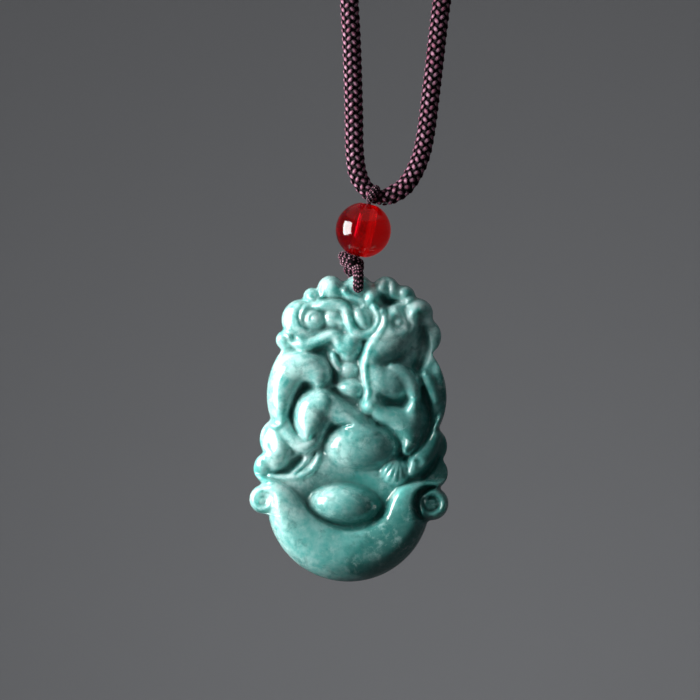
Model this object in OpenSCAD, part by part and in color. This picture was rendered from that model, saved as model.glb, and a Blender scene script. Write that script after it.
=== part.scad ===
// Jade necklace: a braided cord loop from which a thin cord, a red bead and a carved jade plaque hang.
// Millimetres, +Z up. The carved face looks along -Y, and the loop lies in the XZ plane.
// The origin is the underside of the knot at the nape, where the necklace hangs.

/* [Neck cord] */
// Diameter of the braided neck cord
cord_d = 2.9; // [2.6:0.1:3.0]
// Length of the knot that joins the cord behind the neck
nape_len = 13; // [10:1:16]
// Greatest diameter of that knot
nape_d = 5.4; // [5:0.2:6]

/* [Thin cord] */
// Diameter of the thin cord, where nothing squeezes it
thin_d = 1.7; // [1.5:0.1:1.7]
// Diameter of each of its two runs inside the bead
thin_in_bore = 0.96; // [0.8:0.02:1]

/* [Bead] */
// Diameter of the red bead
bead_d = 8.3; // [8:0.1:8.4]
// Diameter of the hole drilled through it
bore_d = 2.2; // [2.1:0.1:2.6]
// Lean of that hole from upright, in degrees
bore_lean = 10.4; // [9:0.2:12]

/* [Pendant] */
// Diameter of the hole that the thin cord goes through
hole_d = 1.9; // [1.9:0.1:2.2]
// Height of the hole's axis above the carving's datum
hole_rise = 0.25; // [0.1:0.05:0.4]
// Height that the face's rounded edge would reach
face_rise = 4.7; // [4.2:0.1:5]
// Width of that rounded edge
face_round = 5; // [4:0.1:6]
// How much the face bows back towards its sides, in mm for each square mm
bow = 0.0075; // [0.005:0.0005:0.01]
// Depth of the smooth back, behind the widest outline
back_depth = 2.2; // [1.8:0.1:2.3]
// Width of the back's rounded edge
back_round = 3.2; // [2:0.1:4]
// Level of the cut-back ground between the raised forms
ground = 1.9; // [1.6:0.1:2.1]
// Deepest level of the carving
deepest = 0.5; // [0.4:0.1:0.8]
// Spacing of the carved face's facets
facet = 0.68; // [0.66:0.02:1.2]

/* [Hidden] */

// The carving's datum, under the nape
hang_x = -4;
hang_z = -300;
cord_sides = 8;
gap = 0.15;

// Neck cord, from the middle of the nape round to it again. Columns: x, y, z, radius over half its diameter
nape_z = nape_d / 2;
neck_route = [
    [0, 0, nape_z, 1], [-7.5, 0, nape_z, 1], [-13, 0, nape_z - 0.5, 1], [-23, 0, -1, 1], [-37, 0, -9, 1],
    [-48, 0, -24, 1],
    [-54, 0, -46, 1], [-53, 0, -70, 1], [-48, 0, -96, 1], [-38, 0, -128, 1], [-26, 0, -166, 1],
    [-16, 0, -204, 1], [-9.5, 0, -236, 1], [-6.8, 0, -258, 1], [-5.7, 0, -272, 1],
    [-5.3, 0, -279, 1], [-4.6, 0, -282.8, 1], [-3.1, 0, -285.1, 0.82], [-1.9, 0, -285.9, 0.72],
    [-0.6, 0, -286, 0.86], [0.6, 0, -285.5, 1], [2.6, 0, -284, 1], [4.4, 0, -280.5, 1], [5.3, 0, -276, 1],
    [6, 0, -268, 1],
    [7.2, 0, -254, 1], [10, 0, -234, 1], [16, 0, -204, 1], [26, 0, -166, 1], [38, 0, -128, 1],
    [48, 0, -96, 1], [53, 0, -70, 1], [54, 0, -46, 1], [48, 0, -24, 1], [37, 0, -9, 1],
    [23, 0, -1, 1], [13, 0, nape_z - 0.5, 1], [7.5, 0, nape_z, 1], [0, 0, nape_z, 1]];

// The bead sits under the bend of the neck cord
bead_x = 0.45;
bead_z = 9;
squeeze = thin_in_bore / thin_d;
run_y = thin_in_bore / 2 + 0.03;

// Both runs of the thin cord, up through the bead and over the neck cord, from the datum.
// Columns: x, y, z, radius over half the thin cord's diameter
bight_route = [
    [-0.3, -run_y, 4.95, squeeze], [-0.05, -run_y, 6.3, squeeze], [0.45, -run_y, 9, squeeze],
    [1, -run_y, 12, squeeze], [1.12, -0.78, 13.15, 0.43], [1.25, -1.45, 13.65, 0.5],
    [1.55, -1.68, 14.35, 0.5], [1.95, -1.45, 15.15, 0.5], [2.22, -0.8, 15.6, 0.5], [2.32, 0, 15.78, 0.5],
    [2.22, 0.8, 15.6, 0.5], [1.95, 1.45, 15.15, 0.5], [1.55, 1.68, 14.35, 0.5],
    [1.25, 1.45, 13.65, 0.5], [1.12, 0.78, 13.15, 0.43], [1, run_y, 12, squeeze],
    [0.45, run_y, 9, squeeze], [-0.05, run_y, 6.3, squeeze], [-0.3, run_y, 4.95, squeeze]];

// The loop through the pendant, from the datum: down the front, through the hole and up the back
loop_route = [
    [-0.35, -1.8, 3.15, 0.9], [-0.15, -2.7, 2.75, 1], [0, -3.4, 2, 1], [0, -3.5, 1.3, 1],
    [0, -3.2, 0.55, 0.98], [0, -2.4, hole_rise, 0.94], [0, -1, hole_rise, 0.94],
    [0, 1, hole_rise, 0.94], [0, 2.3, hole_rise, 0.94], [-0.1, 3.05, 0.6, 0.98],
    [-0.4, 3.3, 1.3, 1], [-0.8, 2.8, 2.2, 1], [-1.05, 1.75, 2.8, 0.9]];

// The two turns of the knot under the bead, from the datum. Columns: x, z, turn's radius, cord's radius, lean
knot_turns = [[-1.2, 4.45, 1.3, 0.8, 22], [-0.75, 3.15, 0.85, 0.78, -15]];
// The core that they close on. Columns: x, z, radius
knot_core = [-0.85, 3.9, 1.1];

// The rounded lobes whose outer edge is the pendant's outline, from the datum. Columns: x, z, radius
lobes = [
    [0, 0.25, 2.05], [4.2, 0.2, 2], [6.9, -0.8, 1.75], [9, -3.3, 2.4], [9.9, -6.6, 2.85],
    [3.5, -15.9, 10.4], [11.2, -23, 3.05], [11.9, -27, 2.6], [12.3, -31.6, 2.5],
    [-0.2, -31.5, 12.3], [-10.9, -31, 2.5], [-12.9, -31.9, 2.2], [-12.2, -27.2, 2.45], [-10.6, -22.8, 3.3],
    [-2.1, -15.8, 11], [-10.6, -7.9, 1.45], [-8.2, -4.8, 3.1], [-6.9, -1.2, 1.25], [-4.1, 0, 2],
    [0, -8, 9.3]];
lobe_blend = 0.7;

// The carving, cut and raised in this order on the ground, from the datum.
// Columns: name, shape, level of its top or minus the depth of its cut, fall to its edge, blend, shape's row
// A dome's row: x, z, half length, half width, turn
// A stroke's rows: x, z, half width
// A coil's row: x, z, first radius, last radius, first angle, last angle, half width
// The bowl's rows: x, z of its upper rim
carving = [
    ["hole seat", "dome", 2.4, 0.9, 0.4, [0, 0.3, 2.2, 2.2, 0]],
    ["top left lobe", "dome", 3, 1.6, 0.25, [-3.8, 0.3, 2.1, 1.9, 0]],
    ["upper left lobe", "dome", 2.9, 1.3, 0.2, [-5.7, -0.7, 1.1, 1, 30]],
    ["small lobe", "dome", 2.6, 1.2, 0.2, [-7.3, -1.2, 1.2, 0.9, 30]],
    ["collar", "stroke", 3, 0.7, 0.15, [[-1.75, 1.7, 0.35], [-1.95, 0.9, 0.45], [-2.1, -0.2, 0.45],
        [-1.3, -1, 0.5], [-0.2, -1.3, 0.5], [0.9, -1.6, 0.5]]],
    ["nub", "dome", 3.6, 1.7, 0.15, [2.15, -0.9, 1.6, 1.2, 60]],
    ["top curl 1", "dome", 2.9, 1.3, 0.15, [3.5, 0.5, 1.05, 1.5, 10]],
    ["top curl 2", "dome", 2.8, 1.3, 0.15, [5.3, 0.15, 0.95, 1.5, 15]],
    ["top curl 3", "dome", 2.7, 1.2, 0.15, [7.05, -0.25, 1.05, 1.3, 25]],
    ["left curl", "dome", 3.4, 1.8, 0.3, [-8, -4.7, 3.4, 3.4, 0]],
    ["left curl hollow", "coil", -0.55, 0, 0, [-6.3, -4.6, 1.6, 1.6, 0, 360, 0.6]],
    ["left curl eye", "dome", 3.4, 0.9, 0.1, [-6.3, -4.6, 1.2, 1.2, 0]],
    ["left bump", "dome", 2.8, 1.2, 0.3, [-11, -7.6, 1.5, 1.7, 0]],
    ["brow shelf", "stroke", 2.5, 0.6, 0.2, [[-4.6, -3.9, 0.8], [-2.9, -3.9, 0.8]]],
    ["brow underside", "stroke", 3.1, 0.8, 0.12, [[-4.9, -4.9, 0.35], [-3.4, -5.05, 0.45],
        [-2.2, -5.6, 0.45]]],
    ["ring floor", "dome", 2.9, 0.4, 0.15, [0.9, -4.4, 2, 2.2, 0]],
    ["brow", "stroke", 3.7, 1.4, 0.15, [[-7.8, -1.9, 0.45], [-6.6, -2.2, 0.75], [-5, -2.4, 0.85],
        [-3.2, -2.35, 0.85], [-2, -2.7, 0.85], [-1.45, -3.7, 0.8], [-1.2, -4.9, 0.8], [-0.4, -6.1, 0.8],
        [0.9, -6.7, 0.8], [2.2, -6.2, 0.8], [3, -5, 0.75], [3.1, -3.7, 0.7], [2.5, -2.6, 0.6]]],
    ["ring boss", "dome", 3.9, 1.3, 0.1, [0.7, -4.3, 1.9, 1.05, -55]],
    ["jaw", "stroke", 3.6, 1.6, 0.3, [[-10.3, -6.6, 0.7], [-9.2, -7.9, 0.85], [-7.6, -8.5, 0.9],
        [-6, -8.1, 0.9], [-4.6, -7.3, 0.9], [-3.4, -7, 0.9], [-2.6, -7.8, 1], [-1.9, -8.6, 1.2]]],
    ["muzzle", "dome", 3.8, 2, 0.3, [-0.9, -8.3, 2.1, 1.8, 0]],
    ["chin", "dome", 3.2, 1.2, 0.3, [-1.1, -9.6, 1.2, 1.1, 0]],
    ["right lobe 1", "dome", 2.6, 1, 0.3, [10.6, -3.9, 1.7, 1.2, -10]],
    ["right lobe 2", "dome", 2.2, 0.9, 0.3, [11.6, -6.8, 1.2, 2, 0]],
    ["dark side", "stroke", -1.6, 0, 0, [[9.8, -5.6, 0.8], [10.1, -7.6, 1.3], [9.8, -9.6, 1.5],
        [9.3, -11.2, 1.2]]],
    ["head", "stroke", 4.1, 2.3, 0.4, [[8.4, -2.2, 1.2], [7, -3.4, 2.3], [6.3, -5.3, 2.9], [5.2, -7.1, 2.9],
        [3.6, -8.8, 2.2], [2.5, -10.1, 1.5]]],
    ["ear", "dome", 3.8, 1.4, 0.15, [9.1, -1.9, 1.7, 0.9, -25]],
    ["eye hollow", "dome", -1.1, 0, 0, [6.4, -4.6, 1.8, 1.8, 0]],
    ["eye", "dome", 3.6, 0.7, 0.1, [6.35, -4.65, 0.7, 0.7, 0]],
    ["pit under curls", "stroke", -1.3, 0, 0, [[3.8, -0.9, 0.6], [4.3, -1.6, 0.8], [5.6, -1.6, 0.6],
        [7, -1.6, 0.5]]],
    ["pit over brow", "stroke", -0.6, 0, 0, [[-5.6, -1.6, 0.4], [-3.2, -1.5, 0.5], [-1.4, -1.9, 0.5],
        [0.4, -2.4, 0.4]]],
    ["neck", "stroke", 3.7, 1.1, 0.3, [[3, -10.6, 1.2], [3.1, -12.4, 1.6], [3.4, -14.4, 1.7],
        [3.2, -16.6, 1.4]]],
    ["mane edge", "stroke", 4.2, 1.2, 0.5, [[3.7, -2.9, 0.4], [4.15, -4.4, 0.45], [3.65, -6, 0.5],
        [2.7, -7.4, 0.5], [1.9, -8.6, 0.5], [1.5, -10, 0.5], [1.2, -11, 0.5], [1.4, -12.2, 0.45],
        [1.6, -13.7, 0.45], [2, -15, 0.45], [1.85, -16.2, 0.45]]],
    ["valley under jaw", "stroke", -1.7, 0, 0, [[-6, -9.3, 0.6], [-4.6, -9.3, 1.1], [-3.8, -10.6, 0.8],
        [-3.1, -12.3, 0.7], [-3, -14, 0.7]]],
    ["valley edge", "stroke", 2.9, 0.8, 0.12, [[-3.5, -9.8, 0.35], [-3.1, -11, 0.4], [-2.4, -12, 0.4]]],
    ["ball 1", "dome", 2.9, 1.3, 0.2, [-0.9, -12, 1.5, 1.2, 0]],
    ["ball 2", "dome", 3.5, 1.5, 0.15, [-0.4, -14.8, 2, 1.35, -5]],
    ["shoulder", "dome", 3.8, 1.7, 1, [5.1, -14.2, 3, 2.3, -20]],
    ["mane band", "stroke", 3.9, 1.3, 0.15, [[4.9, -10.9, 0.6], [6.2, -11.1, 0.8], [7.5, -11.9, 0.85],
        [8.5, -13.2, 0.8], [9.2, -14.7, 0.75], [9.2, -16.2, 0.5]]],
    ["right margin", "dome", 2.5, 0.9, 0.3, [12.6, -14.8, 1.4, 5, 0]],
    ["right strand", "stroke", 3.3, 1.1, 0.2, [[10.1, -12, 0.6], [10.9, -13, 0.8], [11.9, -15, 0.85],
        [12.3, -16.8, 0.7]]],
    ["right strip", "stroke", -1.6, 0, 0, [[10.4, -14.4, 0.5], [10.9, -16.2, 0.7], [11, -18.2, 0.8],
        [10.9, -20, 0.6]]],
    ["left arm", "stroke", 4.3, 2.5, 0.3, [[-11.3, -20.2, 1.5], [-11.2, -18, 1.9], [-10.9, -15.6, 2.3],
        [-10.2, -13.4, 2.6], [-8.6, -12.1, 2.5], [-6.8, -12.1, 2.4], [-5.6, -12.9, 2.1]]],
    ["shin", "stroke", 3.7, 1.5, 0.3, [[-11.2, -18.8, 1.3], [-10.2, -20.9, 1.3], [-8.9, -22.6, 1.3],
        [-7.2, -23.6, 1.2], [-5.9, -22.6, 1.3], [-5, -20.6, 1.3], [-4.2, -19, 1.4]]],
    ["belly", "stroke", 4.1, 1.9, 0.6, [[-3.8, -17.5, 2.1], [-1.7, -18.6, 2], [0.8, -20, 1.9],
        [2.8, -21.3, 1.8]]],
    ["arm hollow", "stroke", -2, 0, 0, [[-6.1, -14.5, 0.4], [-7.1, -14.5, 0.85], [-7.9, -15.6, 0.85],
        [-8.6, -17, 0.45]]],
    ["arm crease", "stroke", -0.9, 0, 0, [[-8.3, -16.4, 0.5], [-9, -18.6, 0.55], [-9, -20.2, 0.5],
        [-8.3, -21.7, 0.35]]],
    ["thigh", "stroke", 4.6, 2.6, 0.25, [[-4.6, -17.4, 2.3], [-6, -18.5, 2.4], [-6.6, -20.2, 1.8],
        [-6.8, -21.7, 0.8]]],
    ["oval shadow", "stroke", -1.2, 0, 0, [[-4.6, -24.6, 0.5], [-4.2, -22.6, 0.7], [-3.2, -21.1, 0.7],
        [-1.8, -20.3, 0.55], [-0.3, -20.2, 0.3]]],
    ["body valley", "stroke", -1.2, 0, 0, [[-3.1, -15.2, 0.8], [-1.2, -16.5, 1.2], [0.9, -18.1, 1.5],
        [3.1, -19.8, 1.2], [5.6, -20.9, 1], [7.1, -22.4, 0.9], [7.3, -24, 0.6]]],
    ["knob", "dome", 4.4, 1.5, 0.25, [2.4, -17.3, 1.2, 1.1, -40]],
    ["right limb", "stroke", 4.2, 2, 0.3, [[2.8, -17.3, 1.1], [4.4, -18.3, 1.4], [6.4, -18.9, 1.7],
        [8.3, -20.2, 2.1], [8.8, -22, 1.6], [8.2, -23.8, 0.7]]],
    ["limb spike", "stroke", 4, 1.6, 0.4, [[8.9, -16.3, 0.5], [9, -17.6, 1.3], [8.8, -19.4, 2]]],
    ["limb hollow", "stroke", -1.8, 0, 0, [[4.4, -16.2, 0.5], [5.6, -16.8, 0.8], [7.2, -16.7, 0.7]]],
    ["main oval", "dome", 4.6, 2.6, 0.15, [1.5, -23.4, 5.3, 3.3, 0]],
    ["left edge lobe", "dome", 2.7, 1.2, 0.3, [-13.2, -26.6, 1.5, 1.9, 0]],
    ["left lobe", "dome", 3.6, 1.9, 0.25, [-11.4, -23.9, 2.3, 3.7, 0]],
    ["left lobe dent", "dome", -0.7, 0, 0, [-12.3, -23.1, 1.1, 1.6, 20]],
    ["left pit", "stroke", -1.6, 0, 0, [[-8.6, -24.8, 0.6], [-8.9, -26.2, 0.8], [-10, -27.5, 0.6],
        [-11.4, -28, 0.3]]],
    ["leaf stem", "stroke", 2.6, 0.5, 0.15, [[-12.2, -28.3, 0.3], [-10, -28.5, 0.35], [-8.6, -28.4, 0.35]]],
    ["left leaf", "stroke", 3.1, 0.9, 0.15, [[-9.2, -28.3, 0.3], [-8, -28.1, 0.7], [-6.6, -27.3, 0.95],
        [-5.6, -26.1, 0.8], [-5, -25, 0.4]]],
    ["mouth", "dome", -1.6, 0, 0, [-0.7, -31.8, 7.2, 4.7, 0]],
    ["lower oval", "dome", 4.2, 2.5, 0.12, [-0.8, -32.2, 4.75, 2.6, -2]],
    ["bowl", "bowl", 4.4, 1.6, 0.2, [[-15.5, -28.3], [-14, -28.4], [-12.4, -28.8], [-11, -29.2],
        [-9.3, -30], [-8.3, -31], [-7.3, -32.3], [-6, -33.7], [-4.3, -34.9], [-2, -35.8], [0.3, -36.2],
        [2.7, -35.7], [4.3, -34.7], [5.3, -33.6], [5.9, -32], [6.4, -30.7], [7.3, -29.5], [9, -28.7],
        [11.5, -28.2], [15.5, -28.1]]],
    ["left scroll seat", "dome", -1.4, 0, 0, [-13.1, -32, 2.5, 2.5, 0]],
    ["left scroll", "dome", 3.1, 1.2, 0.4, [-13.1, -32, 2, 2, 0]],
    ["left scroll turn", "coil", -0.45, 0, 0, [-13.1, -32, 1.9, 1.2, -150, 150, 0.35]],
    ["right scroll seat", "dome", -1.3, 0, 0, [12.2, -31.5, 3, 3, 0]],
    ["right scroll", "dome", 3.1, 1.3, 0.15, [12.2, -31.5, 1.9, 1.9, 0]],
    ["right scroll turn", "coil", -0.7, 0, 0, [12.2, -31.5, 1.35, 0.8, 150, 480, 0.35]],
    ["right scroll edge", "stroke", -2, 0, 0, [[12.6, -29.1, 0.4], [11.3, -29.4, 0.7], [10.2, -30.4, 0.8],
        [9.9, -31.8, 0.8], [10.3, -33.3, 0.7], [11.2, -34.2, 0.5]]],
    ["right edge 1", "dome", 1.9, 0.7, 0.3, [13.2, -23.5, 1, 2.4, 0]],
    ["right edge 2", "dome", 1.9, 0.7, 0.3, [13.2, -27, 1.1, 1.6, 0]],
    ["right pit", "stroke", -1.2, 0, 0, [[12.6, -24.6, 0.8], [11.8, -26.4, 0.9], [10.9, -27.7, 0.6]]],
    ["fan", "dome", 3.7, 1.4, 0.15, [6.7, -27, 2, 1.8, 0]],
    ["strap groove", "stroke", -0.9, 0, 0, [[7.9, -25, 0.3], [9.8, -24.2, 0.4], [11.6, -22.9, 0.4],
        [11.9, -20.8, 0.3]]],
    ["strap", "stroke", 3.6, 1.2, 0.12, [[12.9, -18.8, 0.4], [12.6, -20.8, 0.7], [12.1, -22.8, 0.8],
        [11.1, -24.8, 1], [9.9, -26.2, 0.9]]]];

// A dome's side goes on straight past this share of its half width
shoulder = 0.93;
edge_blend = 0.3;
bowl_round = 4.4;
bowl_wall = 4;
curve_steps = 2;

function soft_max(a, b, k) = max(a, b) + (k > 0 ? pow(max(k - abs(a - b), 0), 2) / (4 * k) : 0);
function soft_min(a, b, k) = -soft_max(-a, -b, k);

// The point a share t of the way from b to c, on the smooth curve that also heeds a and d
function curve_point(a, b, c, d, t) =
    0.5 * (2 * b + (c - a) * t + (2 * a - 5 * b + 4 * c - d) * pow(t, 2)
        + (3 * b - a - 3 * c + d) * pow(t, 3));

// A smooth curve through a list of rows, with so many steps in each span
function smooth(rows, steps) =
    let (last = len(rows) - 1, ring = rows[0] == rows[last])
    [for (i = [0:last - 1])
        let (a = i > 0 ? rows[i - 1] : ring ? rows[last - 1] : 2 * rows[0] - rows[1],
             d = i + 2 <= last ? rows[i + 2] : ring ? rows[1] : 2 * rows[last] - rows[last - 1])
        for (s = [0:steps - 1]) curve_point(a, rows[i], rows[i + 1], d, s / steps),
     rows[last]];

// How far outside its crest a shape still matters, over its half width
function reach(top, rise, blend) = top < 0 ? 1 : shoulder + (top + blend) / (2 * rise);

// One carving row made ready: its smooth curve, and the box beyond which it does nothing
function ready(row) =
    let (shape = row[1], data = row[5], far = shape == "bowl" ? 1 : reach(row[2], row[3], row[4]))
    shape == "dome" ? let (r = far * max(data[2], data[3]))
        [row, data, [data[0] - r, data[0] + r, data[1] - r, data[1] + r]]
    : shape == "coil" ? let (r = max(data[2], data[3]) + far * data[6])
        [row, data, [data[0] - r, data[0] + r, data[1] - r, data[1] + r]]
    : shape == "bowl" ? [row, smooth(data, curve_steps), [-99, 99, -99, 99]]
    : let (r = far * max([for (p = data) p[2]]) + 0.3)
        [row, len(data) > 2 ? smooth(data, curve_steps) : data,
         [min([for (p = data) p[0]]) - r, max([for (p = data) p[0]]) + r,
          min([for (p = data) p[1]]) - r, max([for (p = data) p[1]]) + r]];

// Distance from a dome's middle over its half width
function dome_share(v, x, z) =
    let (u = (x - v[0]) * cos(v[4]) + (z - v[1]) * sin(v[4]),
         w = (z - v[1]) * cos(v[4]) - (x - v[0]) * sin(v[4]))
    norm([u / v[2], w / v[3]]);

// Distance from one piece of a stroke over its half width there, or in mm where it has none
function piece_share(a, b, x, z) =
    let (dx = b[0] - a[0], dz = b[1] - a[1],
         t = min(max(((x - a[0]) * dx + (z - a[1]) * dz) / (dx * dx + dz * dz), 0), 1),
         d = norm([x - a[0] - t * dx, z - a[1] - t * dz]))
    len(a) > 2 ? d / (a[2] + t * (b[2] - a[2])) : d;
function stroke_share(v, x, z) = min([for (i = [0:len(v) - 2]) piece_share(v[i], v[i + 1], x, z)]);

// Distance from a coil over its half width
function coil_share(v, x, z) =
    let (rho = norm([x - v[0], z - v[1]]), turn = atan2(z - v[1], x - v[0]))
    min([for (k = [-1:2])
        let (f = (turn + 360 * k - v[4]) / (v[5] - v[4]), g = min(max(f, 0), 1),
             r = v[2] + (v[3] - v[2]) * g, a = v[4] + (v[5] - v[4]) * g)
        f == g ? abs(rho - r) : norm([x - v[0] - r * cos(a), z - v[1] - r * sin(a)])]) / v[6];

// Fall of a dome's or stroke's side from its crest, 0 at the crest and 1 at its half width
function side_fall(q) =
    1 - sqrt(1 - pow(min(q, shoulder), 2)) + max(q - shoulder, 0) * shoulder / sqrt(1 - pow(shoulder, 2));

// The bowl's face: it falls steeply above its rim, and rounds over below it
function bowl_level(row, line, x, z) =
    let (below = z < lookup(x, line), d = stroke_share(line, x, z), t = below ? min(d / bowl_round, 1) : 0)
    row[2] - row[3] * (1 - sqrt(1 - pow(1 - t, 2))) - (below ? 0 : d * bowl_wall);

// The level h after one more step of the carving
function carve(h, step, x, z) =
    let (row = step[0], box = step[2])
    x < box[0] || x > box[1] || z < box[2] || z > box[3] ? h
    : row[1] == "bowl" ? soft_max(h, bowl_level(row, step[1], x, z), row[4])
    : let (q = row[1] == "dome" ? dome_share(step[1], x, z)
             : row[1] == "coil" ? coil_share(step[1], x, z) : stroke_share(step[1], x, z))
      row[2] < 0 ? max(h + row[2] * pow(1 - pow(min(q, 1), 2), 2), min(h, deepest))
      : soft_max(h, row[2] - row[3] * side_fall(q), row[4]);
function carved(steps, x, z, h = ground, i = 0) =
    i == len(steps) ? h : carved(steps, x, z, carve(h, steps[i], x, z), i + 1);

// Depth inside the outline, over 0 inside it
function inside(x, z, d = -99, i = 0) =
    i == len(lobes) ? d
    : inside(x, z, soft_max(d, lobes[i][2] - norm([x - lobes[i][0], z - lobes[i][1]]), lobe_blend), i + 1);

// Height of a rounded edge at a depth inside the outline
function rounded(depth, height, width) =
    height * sqrt(1 - pow(1 - min(max(depth / width, 0), 1), 2));
function face_y(steps, x, z) =
    -max(soft_min(carved(steps, x, z) - bow * pow(x, 2), rounded(inside(x, z), face_rise, face_round),
        edge_blend), 0);
function back_y(x, z) = rounded(inside(x, z), back_depth, back_round);

// Distance to the outline from a point on the pendant's middle line, by halving
function to_edge(x, z, a, low = 0, high = 18, n = 14) =
    n == 0 ? low
    : let (mid = (low + high) / 2)
      inside(x + mid * cos(a), z + mid * sin(a)) > 0 ? to_edge(x, z, a, mid, high, n - 1)
      : to_edge(x, z, a, low, mid, n - 1);

// The pendant's facets follow rays from its middle line to its outline
line_top = -4;
line_foot = -38;
half_width = 13;
fan_width = 9;
rows = round((line_top - line_foot) / facet);
fan = round(fan_width * PI / facet);
rings = round(half_width / facet) + 1;
back_rings = 5;
// How much closer the rings lie near the outline
edge_crowd = 0.35;

// Rays as rows of: row of the middle line that each starts from, and its angle
rays = concat(
    [for (i = [1:fan - 1]) [0, 180 - 180 * i / fan]],
    [for (k = [0:rows]) [k, 0]],
    [for (i = [1:fan - 1]) [rows, -180 * i / fan]],
    [for (k = [rows:-1:0]) [k, 180]]);
function line_z(k) = line_top + (line_foot - line_top) * k / rows;
function crowded(u) = u * (1 + edge_crowd * (1 - u));

module pendant_stone() {
    steps = [for (row = carving) ready(row)];
    n = len(rays);
    edge = [for (r = rays) to_edge(0, line_z(r[0]), r[1])];
    function on_ray(i, s) =
        let (r = rays[i]) [s * edge[i] * cos(r[1]), line_z(r[0]) + s * edge[i] * sin(r[1])];
    face_line = [for (k = [0:rows]) [0, face_y(steps, 0, line_z(k)), line_z(k)]];
    back_line = [for (k = [0:rows]) [0, back_y(0, line_z(k)), line_z(k)]];
    face = [for (j = [1:rings], i = [0:n - 1])
        let (p = on_ray(i, crowded(j / rings))) [p[0], j == rings ? 0 : face_y(steps, p[0], p[1]), p[1]]];
    back = [for (j = [1:back_rings - 1], i = [0:n - 1])
        let (p = on_ray(i, crowded(j / back_rings))) [p[0], back_y(p[0], p[1]), p[1]]];
    line = rows + 1;
    function face_at(j, i) = j == 0 ? rays[i % n][0] : 2 * line + (j - 1) * n + i % n;
    function back_at(j, i) =
        j == 0 ? line + rays[i % n][0] : j == back_rings ? face_at(rings, i)
        : 2 * line + rings * n + (j - 1) * n + i % n;
    sides = concat(
        [for (j = [1:rings - 1], i = [0:n - 1])
            each [[face_at(j, i), face_at(j + 1, i), face_at(j + 1, i + 1)],
                  [face_at(j, i), face_at(j + 1, i + 1), face_at(j, i + 1)]]],
        [for (j = [1:back_rings - 1], i = [0:n - 1])
            each [[back_at(j, i), back_at(j + 1, i + 1), back_at(j + 1, i)],
                  [back_at(j, i), back_at(j, i + 1), back_at(j + 1, i + 1)]]],
        [for (i = [0:n - 1])
            each [[face_at(0, i), face_at(1, i), face_at(1, i + 1)],
                  [back_at(0, i), back_at(1, i + 1), back_at(1, i)]]],
        [for (i = [0:n - 1]) if (rays[i][0] != rays[(i + 1) % n][0])
            each [[face_at(0, i), face_at(1, i + 1), face_at(0, i + 1)],
                  [back_at(0, i), back_at(0, i + 1), back_at(1, i + 1)]]]);
    polyhedron(points = concat(face_line, back_line, face, back), faces = sides);
}

function unit(v) = v / norm(v);

// A tube along a route of rows x, y, z, share of its radius. Its rings stand square to the route.
module swept(route, d, steps, side, closed = false) {
    path = smooth(route, steps);
    n = closed ? len(path) - 1 : len(path);
    function at(i) = let (p = path[closed ? (i + n) % n : i]) [p[0], p[1], p[2]];
    function along(i) = unit(closed ? at(i + 1) - at(i - 1) : at(min(i + 1, n - 1)) - at(max(i - 1, 0)));
    points = [for (i = [0:n - 1])
        let (t = along(i), u = unit(cross(t, side)), v = cross(t, u), r = path[i][3] * d / 2)
        for (s = [0:cord_sides - 1])
            let (a = 360 * (s + 0.5) / cord_sides) at(i) + r * (cos(a) * u + sin(a) * v)];
    function id(i, s) = (i % n) * cord_sides + s % cord_sides;
    walls = [for (i = [0:closed ? n - 1 : n - 2], s = [0:cord_sides - 1])
        each [[id(i, s), id(i + 1, s + 1), id(i, s + 1)], [id(i, s), id(i + 1, s), id(i + 1, s + 1)]]];
    ends = closed ? []
        : [[for (s = [0:cord_sides - 1]) id(0, s)], [for (s = [cord_sides - 1:-1:0]) id(n - 1, s)]];
    polyhedron(points = points, faces = concat(walls, ends));
}

module neck_cord() {
    color([0.23, 0.08, 0.14]) swept(neck_route, cord_d, 2, [0, 1, 0], closed = true);
}

module back_knot() {
    color([0.2, 0.07, 0.12]) translate([-nape_len / 2, 0, nape_z]) rotate([0, 90, 0])
        difference() {
            rotate_extrude($fn = 48) polygon([
                [0, 0], [nape_d / 2 - 0.6, 0], [nape_d / 2, 1.2], [nape_d / 2, nape_len - 1.2],
                [nape_d / 2 - 0.6, nape_len], [0, nape_len]]);
            translate([0, 0, -1]) cylinder(d = cord_d + 2 * gap, h = nape_len + 2, $fn = 32);
        }
}

module hanger_bight() {
    color([0.17, 0.06, 0.1]) translate([hang_x, 0, hang_z]) swept(bight_route, thin_d, 2, [1, 0, 0]);
}

module bead() {
    color([0.75, 0.02, 0.04]) translate([hang_x + bead_x, 0, hang_z + bead_z]) rotate([0, bore_lean, 0])
        difference() {
            sphere(d = bead_d, $fn = 64);
            cylinder(d = bore_d, h = bead_d + 1, center = true, $fn = 32);
        }
}

module hanger_knot() {
    color([0.17, 0.06, 0.1]) translate([hang_x, 0, hang_z]) {
        for (w = knot_turns) translate([w[0], 0, w[1]]) rotate([0, w[4], 0])
            rotate_extrude($fn = 32) translate([w[2], 0]) circle(r = w[3], $fn = 24);
        translate([knot_core[0], 0, knot_core[1]]) sphere(r = knot_core[2], $fn = 32);
    }
}

module pendant_loop() {
    color([0.17, 0.06, 0.1]) translate([hang_x, 0, hang_z]) swept(loop_route, thin_d, 3, [1, 0, 0]);
}

module pendant() {
    color([0.46, 0.72, 0.64]) translate([hang_x, 0, hang_z])
        difference() {
            pendant_stone();
            translate([0, 0, hole_rise]) rotate([90, 0, 0])
                cylinder(d = hole_d, h = 20, center = true, $fn = 32);
        }
}

neck_cord();
back_knot();
hanger_bight();
bead();
hanger_knot();
pendant_loop();
pendant();
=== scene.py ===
"""Jade necklace: a braided cord loop from which a thin cord, a red bead and a carved jade plaque hang.

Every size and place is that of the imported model's solids. The classes here dress them: the polished
carving, the stitches of the braided cords, the knots and the translucent bead. Lengths are metres unless
a name or a docstring says millimetres.
"""

from __future__ import annotations

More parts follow.
